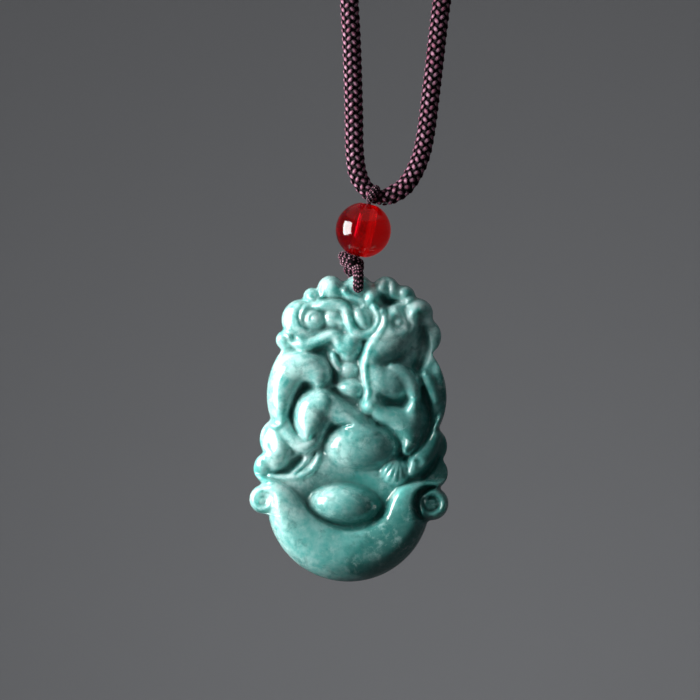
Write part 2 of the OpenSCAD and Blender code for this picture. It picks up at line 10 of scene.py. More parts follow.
import logging
import math
from abc import ABC, abstractmethod
from dataclasses import dataclass, field
from enum import Enum
from typing import Any, Sequence

import bpy
import numpy as np
from mathutils import Matrix, Vector

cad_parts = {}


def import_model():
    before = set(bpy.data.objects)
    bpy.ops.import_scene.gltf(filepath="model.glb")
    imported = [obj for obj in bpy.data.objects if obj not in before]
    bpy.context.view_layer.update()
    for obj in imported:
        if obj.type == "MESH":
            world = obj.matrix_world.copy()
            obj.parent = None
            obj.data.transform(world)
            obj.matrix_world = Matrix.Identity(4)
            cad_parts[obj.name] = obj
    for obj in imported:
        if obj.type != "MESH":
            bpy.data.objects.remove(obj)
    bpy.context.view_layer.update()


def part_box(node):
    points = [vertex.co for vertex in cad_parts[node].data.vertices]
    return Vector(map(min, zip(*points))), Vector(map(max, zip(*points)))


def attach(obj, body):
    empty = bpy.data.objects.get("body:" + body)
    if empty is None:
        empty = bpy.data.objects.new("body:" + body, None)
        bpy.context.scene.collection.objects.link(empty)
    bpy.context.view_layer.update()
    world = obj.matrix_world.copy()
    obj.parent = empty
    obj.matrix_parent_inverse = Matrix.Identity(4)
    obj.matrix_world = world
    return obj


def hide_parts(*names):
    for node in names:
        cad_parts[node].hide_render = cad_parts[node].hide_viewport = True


LOG = logging.getLogger("jade_necklace")
MM = 0.001
Array = np.ndarray
Row = tuple[float, ...]
Rows = Sequence[Sequence[float]]
Colour = tuple[float, float, float]
Span = tuple[float, float]


class Body(Enum):
    """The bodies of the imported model."""

    ROOT = "root"
    PENDANT = "pendant"


class Slot(Enum):
    """The record's material slots."""

    NECK_CORD = "neck_cord"
    THIN_CORD = "thin_cord"
    BEAD = "bead"
    JADE = "jade"


class Operation(Enum):
    """What a Math node works out."""

    ADD = "ADD"
    SUBTRACT = "SUBTRACT"
    MULTIPLY = "MULTIPLY"


# Curves


def blend_point(a: Array, b: Array, c: Array, d: Array, t: float) -> Array:
    """The point a share t of the way from b to c, on the smooth curve that also heeds a and d."""
    return 0.5 * (2 * b + (c - a) * t + (2 * a - 5 * b + 4 * c - d) * t**2 + (3 * b - a - 3 * c + d) * t**3)


def smooth_rows(rows: Rows, steps: int) -> Array:
    """A smooth curve through a list of rows.

    Args:
        rows: The rows that it passes through. Where the last equals the first, the curve is closed.
        steps: Pieces in each span.

    Returns:
        The curve's rows, from the first to the last.
    """
    p = np.array(rows, float)
    if len(p) < 3:
        return p
    ring = np.allclose(p[0], p[-1])
    before = p[-2] if ring else 2 * p[0] - p[1]
    after = p[1] if ring else 2 * p[-1] - p[-2]
    q = np.vstack([before, p, after])
    spans = [blend_point(*q[i:i + 4], s / steps) for i in range(len(p) - 1) for s in range(steps)]
    return np.array([*spans, p[-1]])


def soft_max(a: Array, b: Array, k: float) -> Array:
    """The greater of a and b, rounded where they are within k of each other."""
    return np.maximum(a, b) + np.maximum(k - np.abs(a - b), 0) ** 2 / (4 * k)


def soft_min(a: Array, b: Array, k: float) -> Array:
    """The lesser of a and b, rounded where they are within k of each other."""
    return -soft_max(-a, -b, k)


# The carving, in millimetres from its datum: x to the right, z up, heights towards the viewer

# A form's side goes on straight past this share of its half width
SHOULDER = 0.93
# Pieces in each span of a stroke's curve
CURVE_STEPS = 4


@dataclass(frozen=True)
class Form(ABC):
    """One step of the carving.

    Args:
        name: What it is.
        top: Level of its crest, or minus its depth where it is a cut.
        rise: Fall from the crest to its edge. A cut has none.
        blend: Height over which it melts into what is there. A cut has none.
        data: Its shape's own numbers.
    """

    name: str
    top: float
    rise: float
    blend: float
    data: Any

    @abstractmethod
    def share(self, x: Array, z: Array) -> Array:
        """Distance of each point from the form's middle, over its half width."""

    @abstractmethod
    def extent(self) -> tuple[float, float, float, float, float]:
        """Lowest and highest x and z of its middle, and its greatest half width."""

    def reach(self) -> float:
        """How far out the form still matters, over its half width."""
        return 1.0 if self.top < 0 else SHOULDER + (self.top + self.blend) / (2 * self.rise)

    def near(self, x: Array, z: Array) -> Array:
        """Which points lie within the form's reach.

        Args:
            x: Each point's x.
            z: Each point's z.

        Returns:
            True for each that does.
        """
        x0, x1, z0, z1, w = self.extent()
        r = w * self.reach()
        return (x > x0 - r) & (x < x1 + r) & (z > z0 - r) & (z < z1 + r)

    def carve(self, h: Array, x: Array, z: Array, deepest: float) -> None:
        """Cuts or raises the form in a field of levels, in place.

        Args:
            h: The levels so far.
            x: Each point's x.
            z: Each point's z.
            deepest: Level below which a cut doesn't go.
        """
        m = self.near(x, z)
        if not m.any():
            return
        q = self.share(x[m], z[m])
        if self.top < 0:
            cut = h[m] + self.top * (1 - np.minimum(q, 1) ** 2) ** 2
            h[m] = np.maximum(cut, np.minimum(h[m], deepest))
            return
        inner = np.minimum(q, SHOULDER)
        slope = SHOULDER / math.sqrt(1 - SHOULDER**2)
        fall = 1 - np.sqrt(1 - inner**2) + np.maximum(q - SHOULDER, 0) * slope
        h[m] = soft_max(h[m], self.top - self.rise * fall, self.blend)


class Dome(Form):
    """An oval dome or dent. Its numbers: x, z, half length, half width, turn in degrees."""

    def share(self, x: Array, z: Array) -> Array:
        """Distance from the oval's middle over its half width.

        Args:
            x: Each point's x.
            z: Each point's z.

        Returns:
            The share at each point.
        """
        x0, z0, length, width, turn = self.data
        c, s = math.cos(math.radians(turn)), math.sin(math.radians(turn))
        return np.hypot(((x - x0) * c + (z - z0) * s) / length, ((z - z0) * c - (x - x0) * s) / width)

    def extent(self) -> tuple[float, float, float, float, float]:
        """Its middle, and its greater half axis."""
        x0, z0, length, width, _ = self.data
        return x0, x0, z0, z0, max(length, width)


class Stroke(Form):
    """A ridge or groove along a curve. Its rows: x, z, half width."""

    def share(self, x: Array, z: Array) -> Array:
        """Distance from the curve over the half width there.

        Args:
            x: Each point's x.
            z: Each point's z.

        Returns:
            The share at each point.
        """
        line = smooth_rows(self.data, CURVE_STEPS)
        best = np.full(x.shape, np.inf)
        for a, b in zip(line[:-1], line[1:]):
            run = b[:2] - a[:2]
            t = np.clip(((x - a[0]) * run[0] + (z - a[1]) * run[1]) / (run @ run), 0, 1)
            away = np.hypot(x - a[0] - t * run[0], z - a[1] - t * run[1])
            best = np.minimum(best, away / (a[2] + t * (b[2] - a[2])))
        return best

    def extent(self) -> tuple[float, float, float, float, float]:
        """The box of its curve, and its greatest half width."""
        p = smooth_rows(self.data, CURVE_STEPS)
        return p[:, 0].min(), p[:, 0].max(), p[:, 1].min(), p[:, 1].max(), p[:, 2].max()


class Coil(Form):
    """A ridge or groove along a spiral.

    Its numbers: x, z, first radius, last radius, first angle, last angle, half width.
    """

    def share(self, x: Array, z: Array) -> Array:
        """Distance from the spiral over its half width.

        Args:
            x: Each point's x.
            z: Each point's z.

        Returns:
            The share at each point.
        """
        x0, z0, r0, r1, a0, a1, width = self.data
        rho, turn = np.hypot(x - x0, z - z0), np.degrees(np.arctan2(z - z0, x - x0))
        best = np.full(x.shape, np.inf)
        for whole_turns in (-1, 0, 1, 2):
            f = (turn + 360 * whole_turns - a0) / (a1 - a0)
            g = np.clip(f, 0, 1)
            r, a = r0 + (r1 - r0) * g, np.radians(a0 + (a1 - a0) * g)
            ends = np.hypot(x - x0 - r * np.cos(a), z - z0 - r * np.sin(a))
            best = np.minimum(best, np.where(f == g, np.abs(rho - r), ends))
        return best / width

    def extent(self) -> tuple[float, float, float, float, float]:
        """Bounds its greatest circle.

        Returns:
            Lowest and highest x and z of that circle, and the coil's half width.
        """
        x0, z0, r0, r1, _, _, width = self.data
        far = max(r0, r1)
        return x0 - far, x0 + far, z0 - far, z0 + far, width


class Bowl(Stroke):
    """The big smooth bowl under a rim. Its rows: x, z of the rim."""

    # Width of its rounded edge in millimetres, and how steep its wall is above the rim
    ROUND = 4.4
    WALL = 4.0

    def carve(self, h: Array, x: Array, z: Array, deepest: float) -> None:
        """Raises the bowl: steep above its rim, rounded over below it.

        Args:
            h: The levels so far.
            x: Each point's x.
            z: Each point's z.
            deepest: As for any form, and without effect here.
        """
        line = smooth_rows([(*p, 1) for p in self.data], CURVE_STEPS)
        away = Stroke(self.name, self.top, self.rise, self.blend, line).share(x, z)
        below = z < np.interp(x, line[:, 0], line[:, 1])
        t = np.where(below, np.minimum(away / self.ROUND, 1), 0)
        level = self.top - self.rise * (1 - np.sqrt(1 - (1 - t) ** 2)) - np.where(below, 0, away * self.WALL)
        h[:] = soft_max(h, level, self.blend)


FORMS: list[Form] = [
    Dome("hole seat", 2.4, 0.9, 0.4, (0, 0.3, 2.2, 2.2, 0)),
    Dome("top left lobe", 3, 1.6, 0.25, (-3.8, 0.3, 2.1, 1.9, 0)),
    Dome("upper left lobe", 2.9, 1.3, 0.2, (-5.7, -0.7, 1.1, 1, 30)),
    Dome("small lobe", 2.6, 1.2, 0.2, (-7.3, -1.2, 1.2, 0.9, 30)),
    Stroke("collar", 3, 0.7, 0.15, [
        (-1.75, 1.7, 0.35), (-1.95, 0.9, 0.45), (-2.1, -0.2, 0.45), (-1.3, -1, 0.5), (-0.2, -1.3, 0.5),
        (0.9, -1.6, 0.5)]),
    Dome("nub", 3.6, 1.7, 0.15, (2.15, -0.9, 1.6, 1.2, 60)),
    Dome("top curl 1", 2.9, 1.3, 0.15, (3.5, 0.5, 1.05, 1.5, 10)),
    Dome("top curl 2", 2.8, 1.3, 0.15, (5.3, 0.15, 0.95, 1.5, 15)),
    Dome("top curl 3", 2.7, 1.2, 0.15, (7.05, -0.25, 1.05, 1.3, 25)),
    Dome("left curl", 3.4, 1.8, 0.3, (-8, -4.7, 3.4, 3.4, 0)),
    Coil("left curl hollow", -0.55, 0, 0, (-6.3, -4.6, 1.6, 1.6, 0, 360, 0.6)),
    Dome("left curl eye", 3.4, 0.9, 0.1, (-6.3, -4.6, 1.2, 1.2, 0)),
    Coil("left curl line", -0.45, 0, 0, (-6.3, -4.6, 2.8, 1.9, 130, 240, 0.32)),
    Coil("left curl eye line", -0.25, 0, 0, (-6.3, -4.6, 0.75, 0.65, 30, 190, 0.2)),
    Dome("left bump", 2.8, 1.2, 0.3, (-11, -7.6, 1.5, 1.7, 0)),
    Dome("brow shelf", 2.9, 1, 0.4, (-3.6, -4.4, 1.5, 1.3, 0)),
    Stroke("brow underside", 3, 0.8, 0.3, [(-4.4, -4.9, 0.3), (-3.2, -4.7, 0.4), (-2.2, -5.2, 0.4)]),
    Dome("ring floor", 2.9, 0.4, 0.15, (0.9, -4.4, 2, 2.2, 0)),
    Stroke("brow", 3.7, 1.4, 0.15, [
        (-7.8, -1.9, 0.45), (-6.6, -2.2, 0.75), (-5, -2.4, 0.85), (-3.2, -2.35, 0.85), (-2, -2.7, 0.85),
        (-1.45, -3.7, 0.8), (-1.2, -4.9, 0.8), (-0.4, -6.1, 0.8), (0.9, -6.7, 0.8), (2.2, -6.2, 0.8),
        (3, -5, 0.75), (3.1, -3.7, 0.7), (2.5, -2.6, 0.6)]),
    Dome("ring boss", 3.9, 1.3, 0.1, (0.7, -4.3, 1.9, 1.05, -55)),
    Coil("ring line", -0.35, 0, 0, (1, -4.4, 1.55, 1.75, -110, 85, 0.2)),
    Stroke("jaw", 3.6, 1.6, 0.3, [
        (-10.3, -6.6, 0.7), (-9.2, -7.9, 0.85), (-7.6, -8.5, 0.9), (-6, -8.1, 0.9), (-4.6, -7.3, 0.9),
        (-3.4, -7, 0.9), (-2.6, -7.8, 1), (-1.9, -8.6, 1.2)]),
    Dome("muzzle", 3.8, 2, 0.3, (-0.9, -8.3, 2.1, 1.8, 0)),
    Dome("chin", 3.2, 1.2, 0.3, (-1.1, -9.6, 1.2, 1.1, 0)),
    Dome("right lobe 1", 2.6, 1, 0.3, (10.6, -3.9, 1.7, 1.2, -10)),
    Dome("right lobe 2", 2.2, 0.9, 0.3, (11.6, -6.8, 1.2, 2, 0)),
    Stroke("dark side", -1.6, 0, 0, [
        (9.8, -5.6, 0.8), (10.1, -7.6, 1.3), (9.8, -9.6, 1.5), (9.3, -11.2, 1.2)]),
    Stroke("head", 4.1, 2.3, 0.4, [
        (8.4, -2.2, 1.2), (7, -3.4, 2.3), (6.2, -5.3, 3), (5, -7.1, 3.1), (3.5, -8.8, 2.4),
        (2.5, -10.1, 1.7)]),
    Dome("ear", 3.8, 1.4, 0.15, (9.1, -1.9, 1.7, 0.9, -25)),
    Dome("eye hollow", -1.1, 0, 0, (6.4, -4.6, 1.8, 1.8, 0)),
    Dome("eye", 3.6, 0.7, 0.1, (6.35, -4.65, 0.7, 0.7, 0)),
    Coil("eye line 1", -0.25, 0, 0, (6.4, -4.6, 1.35, 1.3, -60, 90, 0.16)),
    Coil("eye line 2", -0.2, 0, 0, (6.4, -4.6, 1.85, 1.8, -40, 80, 0.16)),
    Stroke("pit under curls", -1.3, 0, 0, [
        (3.8, -0.9, 0.6), (4.3, -1.6, 0.8), (5.6, -1.6, 0.6), (7, -1.6, 0.5)]),
    Stroke("pit over brow", -0.6, 0, 0, [
        (-5.6, -1.6, 0.4), (-3.2, -1.5, 0.5), (-1.4, -1.9, 0.5), (0.4, -2.4, 0.4)]),
    Stroke("neck", 3.7, 1.1, 0.3, [
        (3, -10.6, 1.2), (3.1, -12.4, 1.6), (3.4, -14.4, 1.7), (3.2, -16.6, 1.4)]),
    Stroke("mane edge", 3.8, 1.2, 1.3, [
        (3.7, -2.9, 0.4), (4.15, -4.4, 0.5), (3.65, -6, 0.6), (2.75, -7.4, 0.65), (2, -8.6, 0.65),
        (1.6, -10, 0.6), (1.35, -11, 0.55), (1.45, -12.2, 0.5), (1.65, -13.7, 0.5), (2, -15, 0.5),
        (1.85, -16.2, 0.45)]),
    Stroke("valley under jaw", -1, 0, 0, [
        (-6, -9.3, 0.6), (-4.6, -9.3, 1.1), (-3.8, -10.6, 0.8), (-3.1, -12.3, 0.7), (-3, -14, 0.7)]),
    Stroke("valley edge", 2.9, 0.8, 0.12, [(-3.5, -9.8, 0.35), (-3.1, -11, 0.4), (-2.4, -12, 0.4)]),
    Dome("ball 1", 2.9, 1.3, 0.2, (-0.9, -12, 1.5, 1.2, 0)),
    Dome("ball 2", 3.5, 1.5, 0.15, (-0.4, -14.8, 2, 1.35, -5)),
    Dome("shoulder", 3.9, 1.8, 1, (5, -13.6, 3.1, 2.7, -25)),
    Stroke("mane band", 3.5, 1.4, 0.9, [
        (5.4, -11.2, 0.5), (6.7, -11.7, 0.9), (7.9, -12.8, 1.2), (8.7, -14.3, 1.3), (9, -15.7, 1.1),
        (9, -16.8, 0.8)]),
    Dome("right margin", 2.5, 0.9, 0.3, (12.6, -14.8, 1.4, 5, 0)),
    Stroke("right strand", 3, 1.1, 0.4, [
        (10.5, -12.2, 0.5), (11.1, -13.2, 0.9), (11.9, -14.8, 1), (12.3, -16.2, 0.6)]),
    Stroke("right strip", -1.6, 0, 0, [
        (10.3, -14.4, 0.5), (10.8, -16.2, 0.8), (11.1, -18.2, 1), (11.1, -20, 0.7)]),
    Stroke("left arm", 4.3, 2.5, 0.3, [
        (-11.3, -20.2, 1.5), (-11.2, -18, 1.9), (-10.9, -15.6, 2.3), (-10.2, -13.4, 2.6),
        (-8.6, -12.1, 2.5), (-6.8, -12.1, 2.4), (-5.6, -12.9, 2.1)]),
    Stroke("shin", 3.7, 1.5, 0.3, [
        (-11.2, -18.8, 1.3), (-10.2, -20.9, 1.3), (-8.9, -22.6, 1.3), (-7.2, -23.6, 1.2),
        (-5.9, -22.6, 1.3), (-5, -20.6, 1.3), (-4.2, -19, 1.4)]),
    Stroke("belly", 4.1, 1.9, 0.6, [
        (-3.8, -17.5, 2.1), (-1.7, -18.6, 2), (0.8, -20, 1.9), (2.8, -21.3, 1.8)]),
    Stroke("arm hollow", -0.9, 0, 0, [
        (-6.1, -14.5, 0.4), (-7.1, -14.5, 0.85), (-7.9, -15.6, 0.85), (-8.6, -17, 0.45)]),
    Stroke("arm crease", -0.6, 0, 0, [
        (-8.3, -16.4, 0.5), (-9, -18.6, 0.55), (-9, -20.2, 0.5), (-8.3, -21.7, 0.35)]),
    Stroke("thigh", 4.7, 2.7, 0.2, [
        (-4.9, -17.3, 2.4), (-6.1, -18.4, 2.8), (-6.6, -20.2, 2.3), (-6.8, -22, 1)]),
    Stroke("oval shadow", -1, 0, 0, [
        (-4.2, -24.4, 0.4), (-3.9, -22.6, 0.55), (-3, -21.2, 0.55), (-1.8, -20.4, 0.5),
        (-0.3, -20.1, 0.3)]),
    Stroke("body valley", -0.9, 0, 0, [
        (-3.1, -15.2, 0.8), (-1.2, -16.5, 1.2), (0.9, -18.1, 1.5), (3.1, -19.8, 1.2), (5.4, -20.7, 1)]),
    Stroke("oval pit", -1.6, 0, 0, [
        (3.9, -20, 0.4), (5.8, -20.8, 0.9), (7, -22, 1.1), (7.4, -23.8, 0.9), (6.8, -25.2, 0.4)]),
    Dome("knob", 4.4, 1.5, 0.25, (2.4, -17.3, 1.2, 1.1, -40)),
    Stroke("right limb", 4.2, 2, 0.3, [
        (2.8, -17.3, 1.1), (4.4, -18.3, 1.4), (6.4, -18.9, 1.7), (8.3, -20.2, 2.1), (8.8, -22, 1.6),
        (8.2, -23.8, 0.7)]),
    Stroke("limb spike", 4, 1.6, 0.4, [(8.9, -16.3, 0.5), (9, -17.6, 1.3), (8.8, -19.4, 2)]),
    Stroke("limb hollow", -0.7, 0, 0, [
        (4, -15.8, 0.7), (5.3, -16.7, 1.2), (6.9, -16.8, 1.3), (7.9, -16, 0.9)]),
    Dome("main oval", 4.6, 2.6, 0.15, (1.5, -23.4, 5.3, 3.3, 0)),
    Dome("left edge lobe", 2.7, 1.2, 0.3, (-13.2, -26.6, 1.5, 1.9, 0)),
    Dome("left lobe", 3.6, 1.9, 0.25, (-11.4, -23.9, 2.3, 3.7, 0)),
    Dome("left lobe dent", -0.4, 0, 0, (-12.2, -23.4, 1.5, 2.4, 10)),
    Stroke("left pit", -1.5, 0, 0, [
        (-7.6, -25.4, 0.6), (-8.5, -26.3, 1.1), (-9.6, -27.4, 0.9), (-11.2, -28, 0.4)]),
    Stroke("leaf stem", 2.4, 0.6, 0.15, [(-12.2, -28.3, 0.3), (-10, -28.5, 0.4), (-8.6, -28.4, 0.5)]),
    Stroke("left leaf", 2.4, 0.7, 0.2, [
        (-9.2, -28.4, 0.3), (-8, -28.1, 0.8), (-6.6, -27.2, 1.1), (-5.6, -26, 0.9), (-5, -24.9, 0.4)]),
    Stroke("leaf hollow", -1, 0, 0, [
        (-8.2, -27.8, 0.3), (-6.8, -26.8, 0.75), (-5.9, -25.7, 0.5), (-5.5, -24.6, 0.3)]),
    Dome("mouth", -2.3, 0, 0, (-0.7, -31.9, 8.6, 6, 0)),
    Dome("lower oval", 4.2, 2.5, 0.12, (-0.8, -32.2, 4.75, 2.6, -2)),
    Bowl("bowl", 4.4, 1.6, 0.2, [
        (-15.5, -28.3), (-14, -28.4), (-12.4, -28.8), (-11, -29.2), (-9.3, -30), (-8.3, -31), (-7.3, -32.3),
        (-6, -33.7), (-4.3, -34.9), (-2, -35.8), (0.3, -36.2), (2.7, -35.7), (4.3, -34.7), (5.3, -33.6),
        (5.9, -32), (6.4, -30.7), (7.3, -29.5), (9, -28.7), (11.5, -28.2), (15.5, -28.1)]),
    Dome("left scroll seat", -1.4, 0, 0, (-13.1, -32, 2.5, 2.5, 0)),
    Dome("left scroll", 3.1, 1.2, 0.4, (-13.1, -32, 2, 2, 0)),
    Coil("left scroll turn", -0.3, 0, 0, (-13.1, -32, 1.9, 1.2, -150, 150, 0.35)),
    Coil("left scroll line", -0.3, 0, 0, (-13.1, -32, 0.8, 0.3, -150, 150, 0.22)),
    Stroke("rim line", -0.3, 0, 0, [(-15, -28.9, 0.16), (-12.8, -29.2, 0.2), (-11.4, -29.7, 0.14)]),
    Dome("right scroll seat", -1.3, 0, 0, (12.2, -31.5, 3, 3, 0)),
    Dome("right scroll", 3.1, 1.3, 0.15, (12.2, -31.5, 1.9, 1.9, 0)),
    Coil("right scroll turn", -0.7, 0, 0, (12.2, -31.5, 1.35, 0.8, 150, 480, 0.35)),
    Stroke("right scroll edge", -2, 0, 0, [
        (12.6, -29.1, 0.4), (11.3, -29.4, 0.7), (10.2, -30.4, 0.8), (9.9, -31.8, 0.8), (10.3, -33.3, 0.7),
        (11.2, -34.2, 0.5)]),
    Dome("right edge 1", 1.9, 0.7, 0.3, (13.2, -23.5, 1, 2.4, 0)),
    Dome("right edge 2", 1.9, 0.7, 0.3, (13.2, -27, 1.1, 1.6, 0)),
    Stroke("right pit", -1.2, 0, 0, [(12.6, -24.6, 0.8), (11.8, -26.4, 0.9), (10.9, -27.7, 0.6)]),
    Dome("fan", 3.7, 1.4, 0.15, (6.7, -27, 2, 1.8, 0)),
    Stroke("fan rib 1", -0.45, 0, 0, [(6.6, -25.4, 0.18), (4.9, -28.1, 0.3)]),
    Stroke("fan rib 2", -0.45, 0, 0, [(6.9, -25.4, 0.18), (5.9, -28.5, 0.3)]),
    Stroke("fan rib 3", -0.45, 0, 0, [(7.2, -25.4, 0.18), (7, -28.4, 0.3)]),
    Stroke("fan rib 4", -0.45, 0, 0, [(7.4, -25.4, 0.18), (8, -27.8, 0.3)]),
    Stroke("strap groove", -0.9, 0, 0, [
        (7.9, -25, 0.3), (9.8, -24.2, 0.4), (11.6, -22.9, 0.4), (11.9, -20.8, 0.3)]),
    Stroke("strap", 3.5, 1.2, 0.12, [
        (12.9, -18.6, 0.4), (12.7, -20.4, 0.8), (12.1, -22.4, 1.1), (11, -24.2, 1.4), (9.8, -25.7, 1.3),
        (9, -27, 0.7)]),
]

# Depth inside the outline of a place that no lobe has reached yet
OUTSIDE = -99.0

# The rounded lobes whose outer edge is the pendant's outline: x, z, radius
LOBES: Rows = [
    (0, 0.25, 2.05), (4.2, 0.2, 2), (6.9, -0.8, 1.75), (9, -3.3, 2.4), (9.9, -6.6, 2.85),
    (3.5, -15.9, 10.4), (11.2, -23, 3.05), (11.9, -27, 2.6), (12.3, -31.6, 2.5),
    (-0.2, -31.5, 12.3), (-10.9, -31, 2.5), (-12.9, -31.9, 2.2), (-12.2, -27.2, 2.45), (-10.6, -22.8, 3.3),
    (-2.1, -15.8, 11), (-10.6, -7.9, 1.45), (-8.2, -4.8, 3.1), (-6.9, -1.2, 1.25), (-4.1, 0, 2),
    (0, -8, 9.3),
]


@dataclass
class Carving:
    """The plaque's shape as levels over a plane, in millimetres from its datum.

    Args:
        ground: Level of the cut-back ground between the forms.
        deepest: Deepest level of the carving.
        face_rise: Height that the face's rounded edge would reach.
        face_round: Width of that rounded edge.
        bow: How much the face bows back towards its sides, in millimetres for each square millimetre.
        back_depth: Depth of the smooth back.
        back_round: Width of the back's rounded edge.
        lobe_blend: How far the lobes of the outline melt together.
        edge_blend: How far the forms melt into the rounded edge.
        polish: Radius over which polishing has softened the carving.
        grid: Spacing of the grid on which the levels are worked out.
        painted_shade_radius: Radius over which a place's level is weighed against its surroundings, for the
            painted shade in the recesses.
        low_slack: How far under the ground a place lies before it counts as cut deep.
        low_edge: Depth inside the outline up to which nothing counts so. From twice that, all may.
        low_blur: Radius over which what is cut deep fades out.
        left: Least x of that grid.
        right: Greatest x of that grid.
        foot: Least z of that grid.
        head: Greatest z of that grid.
        far: More than the greatest distance from the middle line to the outline.
        halvings: Steps in which that distance is found.
    """

    ground: float = 1.9
    deepest: float = 0.5
    face_rise: float = 4.7
    face_round: float = 5
    bow: float = 0.0075
    back_depth: float = 2.2
    back_round: float = 3.2
    lobe_blend: float = 0.7
    edge_blend: float = 0.3
    polish: float = 0.13
    grid: float = 0.08
    painted_shade_radius: float = 1.4
    low_slack: float = 0.2
    low_edge: float = 2
    low_blur: float = 0.4
    left: float = -16.5
    right: float = 16.5
    foot: float = -45.5
    head: float = 3.5
    far: float = 18
    halvings: int = 20
    levels: Array = field(init=False)
    painted_shade_depths: Array = field(init=False)

    def __post_init__(self) -> None:
        """Works out the face's levels, and how hollow each place is for the painted shade in the recesses,
        on a grid.
        """
        xs = np.arange(self.left, self.right, self.grid)
        zs = np.arange(self.foot, self.head, self.grid)
        x, z = np.meshgrid(xs, zs)
        h = np.full(x.shape, self.ground)
        for form in FORMS:
            form.carve(h, x, z, self.deepest)
        h -= self.bow * x**2
        depth = self.inside(x, z)
        h = soft_min(h, self.rounded(depth, self.face_rise, self.face_round), self.edge_blend)
        self.levels = self.blurred(np.maximum(h, 0), self.polish)
        # How far each place is cut deep or lies below its surroundings: it sets the painted shade in the
        # jade's recesses.
        low = np.maximum(self.ground - self.low_slack - self.levels - self.bow * x**2 / 2, 0)
        low *= np.clip(depth / self.low_edge - 1, 0, 1)
        around = self.blurred(self.levels, self.painted_shade_radius)
        self.painted_shade_depths = around - self.levels + self.blurred(low, self.low_blur)

    def blurred(self, values: Array, radius: float) -> Array:
        """Averages each value of a grid with its neighbours.

        Args:
            values: The grid's values.
            radius: Radius of the bell that weighs the neighbours.

        Returns:
            The averages.
        """
        n = max(int(3 * radius / self.grid), 1)
        bell = np.exp(-0.5 * (np.arange(-n, n + 1) * self.grid / radius) ** 2)
        bell /= bell.sum()
        padded = np.pad(values, n, mode="edge")
        rows = sum(w * padded[i:i + values.shape[0], :] for i, w in enumerate(bell))
        return sum(w * rows[:, i:i + values.shape[1]] for i, w in enumerate(bell))

    def inside(self, x: Array, z: Array) -> Array:
        """Depth inside the outline, over 0 inside it.

        Args:
            x: Each point's x.
            z: Each point's z.

        Returns:
            The depth at each point.
        """
        depth = np.full(np.shape(x), OUTSIDE)
        for x0, z0, r in LOBES:
            depth = soft_max(depth, r - np.hypot(x - x0, z - z0), self.lobe_blend)
        return depth

    @staticmethod
    def rounded(depth: Array, height: float, width: float) -> Array:
        """Height of a rounded edge at each depth inside the outline."""
        return height * np.sqrt(1 - (1 - np.clip(depth / width, 0, 1)) ** 2)

    def sample(self, values: Array, x: Array, z: Array) -> Array:
        """A grid's values at any points.

        Args:
            values: The grid's values.
            x: Each point's x.
            z: Each point's z.

        Returns:
            The value at each point, between those of the grid.
        """
        u = np.clip((x - self.left) / self.grid, 0, values.shape[1] - 2)
        v = np.clip((z - self.foot) / self.grid, 0, values.shape[0] - 2)
        i, j = u.astype(int), v.astype(int)
        s, t = u - i, v - j
        low = values[j, i] * (1 - s) + values[j, i + 1] * s
        return low * (1 - t) + (values[j + 1, i] * (1 - s) + values[j + 1, i + 1] * s) * t

    def face(self, x: Array, z: Array) -> Array:
        """Level of the carved face, never past its rounded edge.

        Args:
            x: Each point's x.
            z: Each point's z.

        Returns:
            The level at each point.
        """
        edge = self.rounded(self.inside(x, z), self.face_rise, self.face_round)
        return np.minimum(self.sample(self.levels, x, z), edge)

    def back(self, x: Array, z: Array) -> Array:
        """Depth of the smooth back at each point."""
        return self.rounded(self.inside(x, z), self.back_depth, self.back_round)

    def to_edge(self, x: Array, z: Array, angle: Array) -> Array:
        """Distance from each point to the outline, found by halving.

        Args:
            x: Each point's x.
            z: Each point's z.
            angle: Direction in which each looks for it, in radians.

        Returns:
            The distances.
        """
        low, high = np.zeros_like(x), np.full_like(x, self.far)
        for _ in range(self.halvings):
            mid = (low + high) / 2
            within = self.inside(x + mid * np.cos(angle), z + mid * np.sin(angle)) > 0
            low, high = np.where(within, mid, low), np.where(within, high, mid)
        return low


# Shader nodes


@dataclass(frozen=True)
class Grain:
    """Soft noise.

    Args:
        size: Size of its blotches.
        detail: Number of finer layers.
        rough: Strength of the finer layers.
        warp: How much it twists.
    """

    size: float
    detail: float = 3
    rough: float = 0.5
    warp: float = 0


class Link:
    """A value that flows between shader nodes, with arithmetic."""

    def __init__(self, sheet: NodeSheet, socket: bpy.types.NodeSocket) -> None:
        """Wraps a node's output socket.

        Args:
            sheet: The material's nodes.
            socket: The socket.
        """
        self.sheet = sheet
        self.socket = socket

    def __add__(self, other: Any) -> Link:
        """This value plus another."""
        return self.sheet.maths(Operation.ADD, self, other)

    __radd__ = __add__

    def __mul__(self, other: Any) -> Link:
        """This value times another."""
        return self.sheet.maths(Operation.MULTIPLY, self, other)

    __rmul__ = __mul__

    def __sub__(self, other: Any) -> Link:
        """This value minus another."""
        return self.sheet.maths(Operation.SUBTRACT, self, other)

    def __rsub__(self, other: Any) -> Link:
        """Another value minus this one."""
        return self.sheet.maths(Operation.SUBTRACT, other, self)

    def ramp(self, low: float, high: float) -> Link:
        """A smooth step.

        Args:
            low: Value up to which it is 0.
            high: Value from which it is 1.

        Returns:
            The step's value.
        """
        node = self.sheet.node("ShaderNodeMapRange", {"interpolation_type": "SMOOTHSTEP"},
                               {"Value": self, "From Min": low, "From Max": high})
        return Link(self.sheet, node.outputs["Result"])


